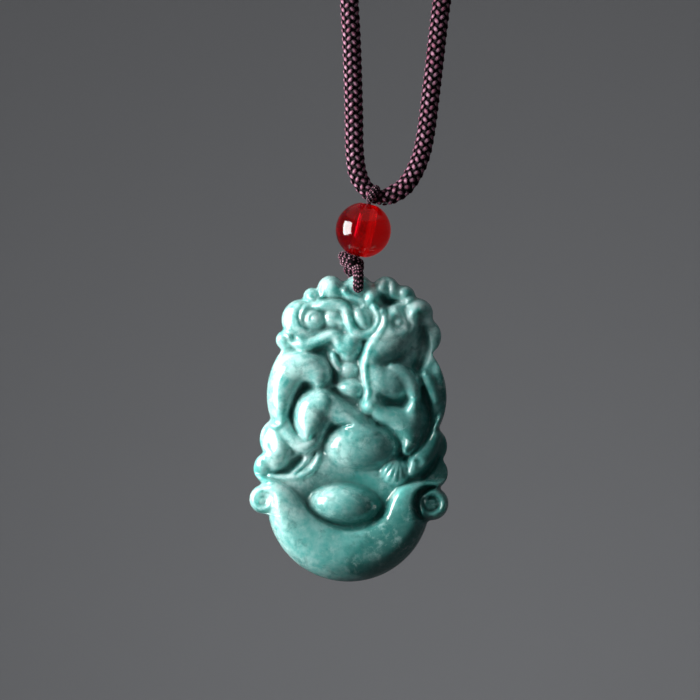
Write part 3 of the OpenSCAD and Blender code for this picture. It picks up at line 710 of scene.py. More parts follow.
class NodeSheet:
    """A material's node tree, filled by expressions."""

    def __init__(self, name: str) -> None:
        """Makes an empty material.

        Args:
            name: Its name.
        """
        self.material = bpy.data.materials.new(name)
        self.material.use_nodes = True
        self.tree = self.material.node_tree
        self.tree.nodes.clear()
        self.place = Link(self, self.node("ShaderNodeTexCoord", {}, {}).outputs["Object"])

    def node(self, kind: str, settings: dict[str, Any], inputs: dict[Any, Any]) -> bpy.types.Node:
        """Adds a node.

        Args:
            kind: The node's type.
            settings: Its properties, which are set first.
            inputs: Values or links of its sockets, by name or number.

        Returns:
            The node.
        """
        node = self.tree.nodes.new(kind)
        for key, value in settings.items():
            setattr(node, key, value)
        for key, value in inputs.items():
            if isinstance(value, Link):
                self.tree.links.new(value.socket, node.inputs[key])
            else:
                node.inputs[key].default_value = value
        return node

    def maths(self, operation: Operation, *values: Any) -> Link:
        """The result of a Math node on links or plain numbers."""
        node = self.node("ShaderNodeMath", {"operation": operation.value}, dict(enumerate(values)))
        return Link(self, node.outputs[0])

    def noise(self, grain: Grain) -> Link:
        """Soft noise, about 0.5."""
        node = self.node("ShaderNodeTexNoise", {}, {
            "Vector": self.place, "Scale": 1 / grain.size, "Detail": grain.detail, "Roughness": grain.rough,
            "Distortion": grain.warp})
        return Link(self, node.outputs[0])

    def along(self, axis: str) -> Link:
        """The place's coordinate on one axis, in metres."""
        return Link(self, self.node("ShaderNodeSeparateXYZ", {}, {"Vector": self.place}).outputs[axis])

    def attribute(self, name: str) -> Link:
        """A value that the mesh holds at each point."""
        return Link(self, self.node("ShaderNodeAttribute", {"attribute_name": name}, {}).outputs["Fac"])

    def mix(self, share: Any, a: Any, b: Any) -> Link:
        """Mixes two colours.

        Args:
            share: Share of the way from the first to the second.
            a: The first, a colour or a link.
            b: The second.

        Returns:
            The mixed colour.
        """
        first, second = [(*c, 1) if isinstance(c, tuple) else c for c in (a, b)]
        node = self.node("ShaderNodeMix", {"data_type": "RGBA"}, {0: share, 6: first, 7: second})
        return Link(self, node.outputs[2])

    def bump(self, height: Link, distance: float, strength: float = 1) -> Link:
        """A surface normal bent by a height."""
        inputs = {"Height": height, "Distance": distance, "Strength": strength}
        return Link(self, self.node("ShaderNodeBump", {}, inputs).outputs[0])

    def surface(self, **sockets: Any) -> bpy.types.Material:
        """Ends the tree in a surface shader.

        Args:
            sockets: Values or links of its sockets, with _ for each space in a name.

        Returns:
            The material.
        """
        inputs = {key.replace("_", " "): value for key, value in sockets.items()}
        shader = self.node("ShaderNodeBsdfPrincipled", {}, inputs)
        out = self.node("ShaderNodeOutputMaterial", {}, {})
        self.tree.links.new(shader.outputs[0], out.inputs["Surface"])
        return self.material


# Finishes


@dataclass(frozen=True)
class Spots:
    """Where some noise is strong.

    Args:
        grain: The noise.
        low: Level up to which there is nothing.
        high: Level from which it is full.
        share: Its strength where it is full.
    """

    grain: Grain
    low: float
    high: float
    share: float = 1

    def strength(self, sheet: NodeSheet) -> Link:
        """How strong it is at each place."""
        return sheet.noise(self.grain).ramp(self.low, self.high) * self.share


@dataclass(frozen=True)
class JadeFinish:
    """Polished, translucent jade.

    It is mottled green with pale flecks. It is darker towards its lower right, painted shade for the side
    away from the light, and darker where it is cut deep or lies below its surroundings, painted shade in the
    recesses.

    Args:
        pale: Colour of its clouds.
        middle: Colour between the clouds, and the first step of the painted shade towards the lower right.
        deep: Colour of the mottles, and of the painted shade at its lower right.
        hollow: Colour of what is cut deep or lies below its surroundings: painted shade in the recesses.
        fleck: Colour of the flecks.
        cloud: Noise of the clouds.
        fine: Finer noise of the clouds.
        fine_share: Share of the finer one.
        cloud_span: Levels of both between which the colour turns from middle to pale.
        shade_swing: Noise that shifts where the painted shade at the lower right deepens.
        shade_swing_reach: How far it shifts that.
        shade_slant: How much height counts there, against x.
        painted_shade_drift: Sums of x and the slanted depth at which the painted shade is none, middle and
            deep.
        painted_shade_drift_shares: Strengths of the middle and the deep colour in that painted shade.
        mottle: The dark mottles.
        speck: The flecks.
        patch: The patches that have flecks.
        painted_shade_span: Levels of the mesh's hollow value between which a place gets none and all of the
            painted shade in the recesses.
        painted_shade_share: Strength of that painted shade.
        wave: Noise of the polished surface's waves.
        wave_share: Its strength.
        ripple: Noise of the finer waves.
        ripple_share: Its strength.
        wave_height: Height of the waves.
        rubbed: Noise of the roughness.
        rubbed_share: Its strength.
        roughness: Least roughness.
    """

    pale: Colour = (0.5, 0.73, 0.71)
    middle: Colour = (0.085, 0.4, 0.375)
    deep: Colour = (0.015, 0.15, 0.135)
    hollow: Colour = (0.03, 0.2, 0.18)
    fleck: Colour = (0.62, 0.84, 0.82)
    cloud: Grain = Grain(5 * MM, 5, 0.6, 0.6)
    fine: Grain = Grain(1.25 * MM, 4, 0.6)
    fine_share: float = 0.4
    cloud_span: Span = (0.33, 0.63)
    shade_swing: Grain = Grain(8 * MM, 5, 0.6)
    shade_swing_reach: float = 34 * MM
    shade_slant: float = 0.5
    painted_shade_drift: tuple[float, float, float] = (154 * MM, 163 * MM, 171 * MM)
    painted_shade_drift_shares: Span = (0.6, 0.75)
    mottle: Spots = Spots(Grain(2.5 * MM, 5, 0.65, 0.5), 0.5, 0.68, 0.45)
    speck: Spots = Spots(Grain(1.3 * MM, 4, 0.65, 0.3), 0.47, 0.72, 0.42)
    patch: Spots = Spots(Grain(4 * MM), 0.4, 0.62)
    painted_shade_span: Span = (0.1, 1.5)
    painted_shade_share: float = 0.6
    wave: Grain = Grain(2.5 * MM)
    wave_share: float = 0.6
    ripple: Grain = Grain(0.7 * MM, 2)
    ripple_share: float = 0.12
    wave_height: float = 0.12 * MM
    rubbed: Grain = Grain(1.5 * MM)
    rubbed_share: float = 0.08
    roughness: float = 0.1

    def colour(self, s: NodeSheet) -> Link:
        """Lays its colours over each other.

        Args:
            s: The material's nodes.

        Returns:
            The colour at each place.
        """
        clouds = s.noise(self.cloud) * (1 - self.fine_share) + s.noise(self.fine) * self.fine_share
        body = s.mix(clouds.ramp(*self.cloud_span), self.middle, self.pale)
        # Painted shade: the colour turns to middle and then deep towards the lower right, the side away from
        # the light.
        shade_swing = (s.noise(self.shade_swing) - 0.5) * self.shade_swing_reach
        painted_shade_drift = s.along("X") - s.along("Z") * self.shade_slant + shade_swing
        start, half, end = self.painted_shade_drift
        first, second = self.painted_shade_drift_shares
        body = s.mix(painted_shade_drift.ramp(start, half) * first, body, self.middle)
        body = s.mix(painted_shade_drift.ramp(half, end) * second, body, self.deep)
        body = s.mix(self.mottle.strength(s), body, self.deep)
        body = s.mix(self.speck.strength(s) * self.patch.strength(s), body, self.fleck)
        # Places cut deep or lying below their surroundings get the hollow colour: painted shade in the
        # recesses.
        return s.mix(s.attribute("hollow").ramp(*self.painted_shade_span) * self.painted_shade_share, body, self.hollow)

    def material(self) -> bpy.types.Material:
        """Makes the finish.

        Returns:
            The material.
        """
        s = NodeSheet("polished_jade")
        waves = s.noise(self.wave) * self.wave_share + s.noise(self.ripple) * self.ripple_share
        return s.surface(
            Base_Color=self.colour(s), Roughness=self.roughness + s.noise(self.rubbed) * self.rubbed_share,
            Normal=s.bump(waves, self.wave_height), IOR=1.62,
            Subsurface_Weight=0.9, Subsurface_Radius=(0.8, 1.15, 1.1), Subsurface_Scale=2.4 * MM,
            Coat_Weight=0.25, Coat_Roughness=0.06, Coat_IOR=1.6)


@dataclass(frozen=True)
class BeadFinish:
    """Polished red glass, clear enough to show its bore, with painted light: bright and glowing right,
    darker left.

    Args:
        red: Colour of the side where light would gather: painted light.
        dark: Colour of the other side: painted shade.
        painted_glow: Glow of the side where light would gather: a painted glow.
        dim: Glow of the other side: a fainter painted glow.
        width: The bead's width.
        middle: The bead's x.
        painted_light_span: Places across it between which the painted shade turns to the painted light, over
            its width.
        swirl: Noise that shifts them.
        swirl_reach: How far it does, over the width.
        rubbed: Noise of the roughness.
        rubbed_share: Its strength.
        roughness: Least roughness.
    """

    red: Colour = (0.88, 0.001, 0.001)
    dark: Colour = (0.22, 0, 0.006)
    painted_glow: Colour = (0.09, 0, 0)
    dim: Colour = (0.004, 0, 0)
    width: float = 8.3 * MM
    middle: float = -3.55 * MM
    painted_light_span: Span = (-0.4, 0.3)
    swirl: Grain = Grain(2 * MM, 2)
    swirl_reach: float = 0.3
    rubbed: Grain = Grain(1.2 * MM, 2)
    rubbed_share: float = 0.03
    roughness: float = 0.02

    def material(self) -> bpy.types.Material:
        """Makes the finish.

        Returns:
            The material.
        """
        s = NodeSheet("red_glass")
        # Painted light and shade: brighter red and a stronger glow to the right, darker red to the left.
        across = s.along("X") + (s.noise(self.swirl) - 0.5) * (self.swirl_reach * self.width)
        painted_light_share = across.ramp(*(self.middle + share * self.width for share in self.painted_light_span))
        return s.surface(
            Base_Color=s.mix(painted_light_share, self.dark, self.red), Transmission_Weight=0.88, IOR=1.52,
            Emission_Color=s.mix(painted_light_share, self.dim, self.painted_glow), Emission_Strength=1,
            Roughness=self.roughness + s.noise(self.rubbed) * self.rubbed_share,
            Subsurface_Weight=1, Subsurface_Radius=(1, 0.03, 0.02), Subsurface_Scale=8 * MM)


@dataclass(frozen=True)
class CordFinish:
    """Braided silky cord: sheen yarn stitches over a core, fine fibres, and painted shade between the
    stitches.

    Args:
        name: The material's name.
        yarn: Colour of the yarn.
        dusty: Colour of its paler places.
        fibre: Width of its fibres.
        core: Near-black colour of the core and of each stitch's lower flanks: painted shade between the
            stitches.
        dust: Where the yarn is paler.
        painted_shade_crown_span: Levels of the mesh's crown value between which the painted shade turns to
            yarn.
        fibre_height: Height of the fibres.
        fibre_strength: Strength with which they bend the surface.
        low_roughness: How much less rough the crown of a stitch is than the core.
        fibre_roughness: How much the fibres add to the roughness.
        roughness: Roughness of the core.
    """

    name: str
    yarn: Colour = (0.36, 0.11, 0.19)
    dusty: Colour = (0.52, 0.25, 0.37)
    fibre: float = 0.05 * MM
    core: Colour = (0.006, 0.003, 0.005)
    dust: Spots = Spots(Grain(0.8 * MM, 2), 0.35, 0.65)
    painted_shade_crown_span: Span = (0.45, 1)
    fibre_height: float = 0.02 * MM
    fibre_strength: float = 0.6
    low_roughness: float = 0.35
    fibre_roughness: float = 0.1
    roughness: float = 0.8

    def material(self) -> bpy.types.Material:
        """Makes the finish.

        Returns:
            The material.
        """
        s = NodeSheet(self.name)
        # Near the core and low on each stitch the colour is the core's near black: painted shade between the
        # stitches.
        crown = s.attribute("crown")
        tint = s.mix(self.dust.strength(s), self.yarn, self.dusty)
        fibres = s.noise(Grain(self.fibre, 2, 0.6))
        return s.surface(
            Base_Color=s.mix(crown.ramp(*self.painted_shade_crown_span), self.core, tint),
            Roughness=self.roughness - crown * self.low_roughness + fibres * self.fibre_roughness,
            Normal=s.bump(fibres, self.fibre_height, self.fibre_strength), Specular_IOR_Level=0.2,
            Sheen_Weight=0.05, Sheen_Roughness=0.4, Sheen_Tint=(0.75, 0.45, 0.6, 1))


@dataclass(frozen=True)
class FloorFinish:
    """Plain pale matt floor.

    Args:
        pale: Its colour.
        shade: Its darker colour.
        cloud: Noise of the darker places.
        cloud_share: Its strength.
    """

    pale: Colour = (0.5, 0.5, 0.51)
    shade: Colour = (0.4, 0.4, 0.41)
    cloud: Grain = Grain(0.05, 2)
    cloud_share: float = 0.08

    def material(self) -> bpy.types.Material:
        """Makes the finish.

        Returns:
            The material.
        """
        s = NodeSheet("pale_floor")
        colour = s.mix(s.noise(self.cloud) * self.cloud_share, self.pale, self.shade)
        return s.surface(Base_Color=colour, Roughness=0.9)



# Meshes


def make_piece(name: str, points: Array, faces: Sequence[Sequence[int]], finish: bpy.types.Material,
               values: dict[str, Array] | None = None) -> bpy.types.Object:
    """Makes a smooth mesh object.

    Args:
        name: The piece's name.
        points: Its points, in metres.
        faces: Point numbers of each face.
        finish: Its material.
        values: Named values at each point, which the material reads.

    Returns:
        The object, in the scene.
    """
    mesh = bpy.data.meshes.new(name)
    mesh.from_pydata([tuple(p) for p in points], [], [tuple(int(i) for i in f) for f in faces])
    for key, value in (values or {}).items():
        mesh.attributes.new(key, "FLOAT", "POINT").data.foreach_set("value", np.asarray(value, np.float32))
    mesh.polygons.foreach_set("use_smooth", [True] * len(mesh.polygons))
    mesh.materials.append(finish)
    mesh.update()
    piece = bpy.data.objects.new(name, mesh)
    bpy.context.scene.collection.objects.link(piece)
    return piece


def seat(piece: bpy.types.Object, body: Body, slot: Slot, *nodes: str) -> bpy.types.Object:
    """Lets a piece ride on a body and stand for its solids.

    Args:
        piece: The piece.
        body: The body that it moves with.
        slot: The record's material slot. Not used.
        nodes: The solids that it replaces.

    Returns:
        The piece.
    """
    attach(piece, body.value)
    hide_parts(*nodes)
    return piece


def circle(count: int) -> Array:
    """The angles of points spread evenly round a circle."""
    return 2 * math.pi * np.arange(count) / count


def ring_faces(rings: int, sides: int, closed: bool) -> list[list[int]]:
    """Four-sided faces of a tube.

    Args:
        rings: Number of rings.
        sides: Points in each ring.
        closed: Whether the last ring joins the first.

    Returns:
        The faces, with two end caps last on an open tube.
    """
    faces = []
    for i in range(rings if closed else rings - 1):
        low, high = i * sides, (i + 1) % rings * sides
        faces += [[low + s, low + (s + 1) % sides, high + (s + 1) % sides, high + s] for s in range(sides)]
    if not closed:
        faces += [list(range(sides - 1, -1, -1)), list(range((rings - 1) * sides, rings * sides))]
    return faces


# Pieces in each span of a cord's route
ROUTE_STEPS = 12
# Share of a route's length over which its direction is measured
LOOK_AHEAD = 1e-3
# Share of an open cord's radius that is left at its very end
END_RADIUS = 0.25
# Share of a stitch's size that doesn't shrink with the radius there
END_STITCH = 0.35
# How far the core lies under the stitches' crowns, over their half height
CORE_SINK = 1.25
# A stitch's crown value at half its height, and how much less it is at the stitch's tips. A low value gives
# painted shade.
CROWN_MIDDLE = 0.35
CROWN_TIP_FALL = 0.55


@dataclass
class Places:
    """Places along a route.

    Args:
        centre: Their centres.
        u: Directions square to the route.
        v: Directions square to it and to u.
        along: The route's own directions.
        share: Shares of the cord's diameter.
        full: How full an open cord is there, less than 1 where its ends close.
    """

    centre: Array
    u: Array
    v: Array
    along: Array
    share: Array
    full: Array


@dataclass
class Route:
    """A smooth run that a cord follows.

    Args:
        rows: Rows of x, y, z and share of the cord's diameter. It is a loop where the last equals the first.
        side: A direction that it never runs along.
        taper: Length over which each open end closes.
    """

    rows: Rows
    side: Sequence[float]
    taper: float = 0
    path: Array = field(init=False)
    at: Array = field(init=False)
    closed: bool = field(init=False)

    def __post_init__(self) -> None:
        """Smooths the rows and measures the run."""
        self.path = smooth_rows(self.rows, ROUTE_STEPS)
        steps = np.linalg.norm(np.diff(self.path[:, :3], axis=0), axis=1)
        self.at = np.concatenate([[0], np.cumsum(steps)])
        self.closed = bool(np.allclose(self.path[0], self.path[-1]))

    @property
    def length(self) -> float:
        """Its length."""
        return float(self.at[-1])

    def places(self, marks: Array) -> Places:
        """Finds places along it.

        Args:
            marks: Their distances from its start.

        Returns:
            The places.
        """
        rows = np.stack([np.interp(marks, self.at, self.path[:, k]) for k in range(4)], 1)
        small = self.length * LOOK_AHEAD
        period = self.length if self.closed else None
        ahead, behind = ([np.interp(marks + d, self.at, self.path[:, k], period=period) for k in range(3)]
                         for d in (small, -small))
        along = np.stack(ahead, 1) - np.stack(behind, 1)
        along /= np.linalg.norm(along, axis=1)[:, None]
        u = np.cross(along, np.asarray(self.side, float)[None])
        u /= np.linalg.norm(u, axis=1)[:, None]
        full = np.ones(len(marks))
        if self.taper > 0:
            t = np.clip(np.minimum(marks, self.length - marks) / self.taper, 0, 1)
            full = END_RADIUS + (1 - END_RADIUS) * np.sqrt(1 - (1 - t) ** 2)
        return Places(rows[:, :3], u, np.cross(along, u), along, rows[:, 3], full)


@dataclass
class Braid:
    """A round braided cord: columns of leaning oval stitches over a core.

    Args:
        diameter: The cord's outer diameter, where its route's share is 1.
        columns: Columns of stitches round the cord.
        pitch: Distance between rows.
        stitch: A stitch's half length, half width and half height.
        spacing: Distance between the core's rings.
        lean: Lean of the stitches from the cord, in degrees, to either side by turns.
        step: How much lower each column lies than the last, over the pitch.
        segments: Sides of a stitch, and pieces along it.
        core_sides: Sides of the core.
    """

    diameter: float
    columns: int
    pitch: float
    stitch: tuple[float, float, float]
    spacing: float
    lean: float = 32
    step: float = 0.2
    segments: tuple[int, int] = (5, 4)
    core_sides: int = 10
    points: list[Array] = field(default_factory=list)
    faces: list[list[int]] = field(default_factory=list)
    crowns: list[Array] = field(default_factory=list)

    def oval(self) -> tuple[Array, list[list[int]]]:
        """A round stitch of unit size, its long axis first.

        Returns:
            Its points and its faces.
        """
        sides, spans = self.segments
        rings = [[math.cos(a), math.sin(a) * math.cos(b), math.sin(a) * math.sin(b)]
                 for a in np.linspace(0, math.pi, spans + 1)[1:-1] for b in circle(sides)]
        points = np.array([*rings, [1, 0, 0], [-1, 0, 0]])
        first, last, end = len(rings), len(rings) + 1, (spans - 2) * sides
        faces = ring_faces(spans - 1, sides, False)[:-2]
        faces += [[first, (s + 1) % sides, s] for s in range(sides)]
        faces += [[last, end + s, end + (s + 1) % sides] for s in range(sides)]
        return points, faces

    def add(self, points: Array, faces: Sequence[Sequence[int]], crown: Array) -> None:
        """Adds points and faces.

        Args:
            points: The points.
            faces: Their numbers in each face.
            crown: How far each is from the core, from 0 to 1.
        """
        start = sum(len(p) for p in self.points)
        self.points.append(points)
        self.faces += [[start + i for i in f] for f in faces]
        self.crowns.append(crown)

    def lay(self, route: Route) -> None:
        """Lays the braid along a route."""
        self.lay_core(route)
        for column in range(self.columns):
            self.lay_column(route, column)

    def lay_core(self, route: Route) -> None:
        """Lays the core.

        Args:
            route: The route that it follows.
        """
        rings = max(round(route.length / self.spacing), 3)
        marks = np.linspace(0, route.length, rings, endpoint=not route.closed)
        at = route.places(marks)
        radius = (self.diameter / 2 - CORE_SINK * self.stitch[2]) * at.share * at.full
        a = circle(self.core_sides)[None, :, None]
        out = np.cos(a) * at.u[:, None] + np.sin(a) * at.v[:, None]
        tube = (at.centre[:, None] + radius[:, None, None] * out).reshape(-1, 3)
        self.add(tube, ring_faces(rings, self.core_sides, route.closed), np.zeros(len(tube)))

    def lay_column(self, route: Route, column: int) -> None:
        """Lays one column of stitches.

        Args:
            route: The route that it follows.
            column: Its number round the cord.
        """
        rows = max(round(route.length / self.pitch), 1)
        marks = (np.arange(rows) + 0.5 - column * self.step) * (route.length / rows)
        marks = marks % route.length if route.closed else marks[(marks > 0) & (marks < route.length)]
        at = route.places(marks)
        a = 2 * math.pi * column / self.columns
        out = math.cos(a) * at.u + math.sin(a) * at.v
        across = np.cross(at.along, out)
        lean = math.radians(self.lean if column % 2 else -self.lean)
        long = math.cos(lean) * at.along + math.sin(lean) * across
        wide = math.cos(lean) * across - math.sin(lean) * at.along
        size = np.array(self.stitch) * (at.share * (END_STITCH + (1 - END_STITCH) * at.full))[:, None]
        middle = at.centre + out * (self.diameter / 2 * at.share * at.full - size[:, 2])[:, None]
        oval, oval_faces = self.oval()
        points = middle[:, None] + oval[None] @ (np.stack([long, wide, out], 1) * size[:, :, None])
        faces = [[k * len(oval) + i for i in f] for k in range(len(marks)) for f in oval_faces]
        # The crown value sets where the cord's colour turns from painted shade to yarn.
        crown = np.clip(CROWN_MIDDLE + (1 - CROWN_MIDDLE) * oval[:, 2], 0, 1)
        crown *= 1 - CROWN_TIP_FALL * oval[:, 0] ** 4
        self.add(points.reshape(-1, 3), faces, np.tile(crown, len(marks)))

    def piece(self, name: str, finish: bpy.types.Material) -> bpy.types.Object:
        """Makes the piece from all that was laid."""
        values = {"crown": np.concatenate(self.crowns)}
        return make_piece(name, np.vstack(self.points), self.faces, finish, values)


# Sub-assemblies

# The carving's datum, under the nape
DATUM = Vector((-0.004, 0, -0.3))


def from_datum(rows: Rows) -> list[Row]:
    """Rows of millimetres from the carving's datum, as rows in the frame's metres."""
    return [(p[0] * MM + DATUM.x, p[1] * MM, p[2] * MM + DATUM.z, *p[3:]) for p in rows]


@dataclass
class Assembly(ABC):
    """A part of the necklace.

    Args:
        finish: Its material.
    """

    finish: bpy.types.Material

    @abstractmethod
    def build(self) -> list[bpy.types.Object]:
        """Makes its pieces and seats them."""


@dataclass
class NeckCord(Assembly):
    """The braided neck cord: one closed loop, bent into a U where the hanger holds it.

    Args:
        diameter: Its thickness.
        columns: Columns of stitches round it.
        pitch: Distance between their rows.
        stitch: A stitch's half length, half width and half height.
        spacing: Distance between the core's rings.
        lean: Lean of the stitches, in degrees.
        step: How much lower each column lies than the last, over the pitch.
    """

    diameter: float = 2.9 * MM
    columns: int = 10
    pitch: float = 1.24 * MM
    stitch: tuple[float, float, float] = (0.56 * MM, 0.4 * MM, 0.25 * MM)
    spacing: float = 1.8 * MM
    lean: float = 45
    step: float = 0.5

    # Millimetres from the nape: x and z of the loop's right side, going down. The left side is its mirror.
    SIDE = [(7.5, 2.7), (13, 2.2), (23, -1), (37, -9), (48, -24), (54, -46), (53, -70), (48, -96),
            (38, -128), (26, -166), (16, -204)]
    # The same of the loop's foot, from left to right, with its radius over half the diameter
    FOOT = [(-9.5, -236, 1), (-6.8, -258, 1), (-5.7, -272, 1), (-5.3, -279, 1), (-4.6, -282.8, 1),
            (-3.1, -285.1, 0.88), (-1.9, -285.9, 0.8), (-0.6, -286, 0.86), (0.6, -285.5, 1), (2.6, -284, 1),
            (4.4, -280.5, 1), (5.3, -276, 1), (6, -268, 1), (7.2, -254, 1), (10, -234, 1)]

    def route(self) -> list[Row]:
        """Joins the sides and the foot.

        Returns:
            The loop's rows, from the nape round to it again: x, y, z, radius over half the diameter.
        """
        nape = (0, self.SIDE[0][1], 1)
        left, right = ([(sign * x, z, 1) for x, z in self.SIDE] for sign in (-1, 1))
        return [(x * MM, 0, z * MM, share) for x, z, share in (nape, *left, *self.FOOT, *right[::-1], nape)]

    def build(self) -> list[bpy.types.Object]:
        """Makes the cord.

        Returns:
            Its one piece.
        """
        braid = Braid(self.diameter, self.columns, self.pitch, self.stitch, self.spacing, self.lean,
                      self.step)
        route = Route(self.route(), (0, 1, 0))
        braid.lay(route)
        LOG.info("neck cord: %.3f m round", route.length)
        return [seat(braid.piece("neck_cord_braid", self.finish), Body.ROOT, Slot.NECK_CORD, "neck_cord")]


@dataclass
class NapeKnot(Assembly):
    """The barrel knot that joins the cord behind the neck: turns of thin cord round it.

    Args:
        thin: Thickness of the thin cord.
        columns: Columns of stitches round it.
        pitch: Distance between their rows.
        stitch: A stitch's half length, half width and half height.
        spacing: Distance between the core's rings.
        core_sides: Sides of the core.
        per_turn: Points in each turn of the route.
        tuck: How much nearer the neck cord the first and last turn end.
        taper: Length over which the thin cord's ends close.
    """

    thin: float = 1.25 * MM
    columns: int = 6
    pitch: float = 0.62 * MM
    stitch: tuple[float, float, float] = (0.33 * MM, 0.2 * MM, 0.15 * MM)
    spacing: float = 0.9 * MM
    core_sides: int = 8
    per_turn: int = 16
    tuck: float = 0.35 * MM
    taper: float = 0.8 * MM

    def build(self) -> list[bpy.types.Object]:
        """Makes the knot between the ends of its solid.

        Returns:
            Its one piece.
        """
        low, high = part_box("back_knot")
        centre = (low + high) / 2
        radius = (high.z - low.z) / 2 - self.thin / 2
        run = high.x - low.x - self.thin
        count = round(run / self.thin) * self.per_turn
        helix = []
        for i in range(count + 1):
            a = 2 * math.pi * i / self.per_turn
            r = radius - self.tuck * max(0.0, 1 - min(i, count - i) / self.per_turn) ** 2
            helix.append((centre.x - run / 2 + run * i / count, centre.y + r * math.sin(a),
                          centre.z + r * math.cos(a), 1))
        braid = Braid(self.thin, self.columns, self.pitch, self.stitch, self.spacing,
                      core_sides=self.core_sides)
        route = Route(helix, (1, 0, 0), self.taper)
        braid.lay(route)
        LOG.info("nape knot: %.3f m of thin cord", route.length)
        return [seat(braid.piece("nape_knot_turns", self.finish), Body.ROOT, Slot.NECK_CORD, "back_knot")]


@dataclass(frozen=True)
class Turn:
    """One closed turn of the knot, in millimetres from the datum.

    Args:
        x: Its middle's x.
        z: Its middle's z.
        radius: Its radius.
        lean: Lean of its plane, in degrees.
        share: Radius of its cord over half the thin cord's diameter.
        side: A direction that it never runs along.
        count: Points in it.
    """

    x: float
    z: float
    radius: float
    lean: float
    share: float
    side: tuple[float, float, float]
    count: int = 12

    def rows(self) -> list[Row]:
        """The rows of its route, the last equal to the first."""
        lean = math.radians(self.lean)
        return [(self.x + self.radius * math.cos(a) * math.cos(lean), self.radius * math.sin(a),
                 self.z - self.radius * math.cos(a) * math.sin(lean), self.share)
                for a in (*circle(self.count), 0)]


@dataclass
class Hanger(Assembly):
    """The thin cord: its bight over the neck cord, the knot under the bead and the pendant's loop.

    Args:
        diameter: Thickness of the thin cord.
        in_bore: Thickness of each run inside the bead.
        columns: Columns of stitches round it.
        pitch: Distance between their rows.
        stitch: A stitch's half length, half width and half height.
        spacing: Distance between the core's rings.
        taper: Length over which the knot's crossing closes at its ends.
    """

    diameter: float = 1.7 * MM
    in_bore: float = 0.96 * MM
    columns: int = 12
    pitch: float = 0.5 * MM
    stitch: tuple[float, float, float] = (0.27 * MM, 0.17 * MM, 0.14 * MM)
    spacing: float = 0.5 * MM
    taper: float = 0.5 * MM

    # Millimetres from the datum: x and z of the front run through the bead
    IN_BEAD = [(-0.3, 4.95), (-0.05, 6.3), (0.45, 9), (1, 12)]
    # From there up to the bight's top: x, y, z, radius over half the diameter. The back run mirrors both.
    OVER_CORD = [(1.12, -0.78, 13.15, 0.43), (1.25, -1.45, 13.65, 0.6), (1.55, -1.6, 14.2, 0.8),
                 (1.85, -1.35, 14.75, 0.85), (2.05, -0.75, 15.05, 0.85), (2.1, 0, 15.15, 0.85)]
    # Half the gap between the two runs in the bead, in millimetres
    HALF_GAP = 0.03
    TURNS = (Turn(-1.2, 4.45, 1.3, 22, 0.95, (0.3, 0.2, 1)),
             Turn(-0.75, 3.15, 0.85, -15, 0.92, (0.2, 0.1, 1)))
    CROSSING = [(-2.3, -0.3, 3.9, 0.8), (-2, -1.35, 4.2, 0.9), (-1.1, -1.95, 3.8, 0.95),
                (-0.5, -1.95, 3.3, 0.95)]
    # Down the front, through the pendant's hole and up the back
    LOOP = [(-0.35, -1.8, 3.15, 0.9), (-0.15, -2.7, 2.75, 1), (0, -3.4, 2, 1), (0, -3.5, 1.3, 1),
            (0, -3.2, 0.55, 0.98), (0, -2.4, 0.25, 0.94), (0, -1, 0.25, 0.94), (0, 1, 0.25, 0.94),
            (0, 2.3, 0.25, 0.94), (-0.1, 3.05, 0.6, 0.98), (-0.4, 3.3, 1.3, 1), (-0.8, 2.8, 2.2, 1),
            (-1.05, 1.75, 2.8, 0.9)]

    def bight(self) -> list[Row]:
        """Joins the runs through the bead over the neck cord.

        Returns:
            The rows of the route, in millimetres from the datum, from its front end to its back end.
        """
        away = self.in_bore / MM / 2 + self.HALF_GAP
        front = [(x, -away, z, self.in_bore / self.diameter) for x, z in self.IN_BEAD] + self.OVER_CORD
        return front + [(x, -y, z, share) for x, y, z, share in front[-2::-1]]

    def piece(self, name: str, node: str, *routes: Route) -> bpy.types.Object:
        """Makes a piece of thin cord.

        Args:
            name: Its name.
            node: The solid that it replaces.
            routes: The routes that it follows.

        Returns:
            The piece.
        """
        braid = Braid(self.diameter, self.columns, self.pitch, self.stitch, self.spacing)
        for route in routes:
            braid.lay(route)
        return seat(braid.piece(name, self.finish), Body.ROOT, Slot.THIN_CORD, node)

    def build(self) -> list[bpy.types.Object]:
        """Makes the bight, the knot and the loop.

        Returns:
            The three pieces.
        """
        turns = [Route(from_datum(turn.rows()), turn.side) for turn in self.TURNS]
        crossing = Route(from_datum(self.CROSSING), (0, 0, 1), self.taper)
        return [self.piece("hanger_bight_braid", "hanger_bight", Route(from_datum(self.bight()), (1, 0, 0))),
                self.piece("hanger_knot_wraps", "hanger_knot", *turns, crossing),
                self.piece("pendant_loop_braid", "pendant_loop", Route(from_datum(self.LOOP), (1, 0, 0)))]


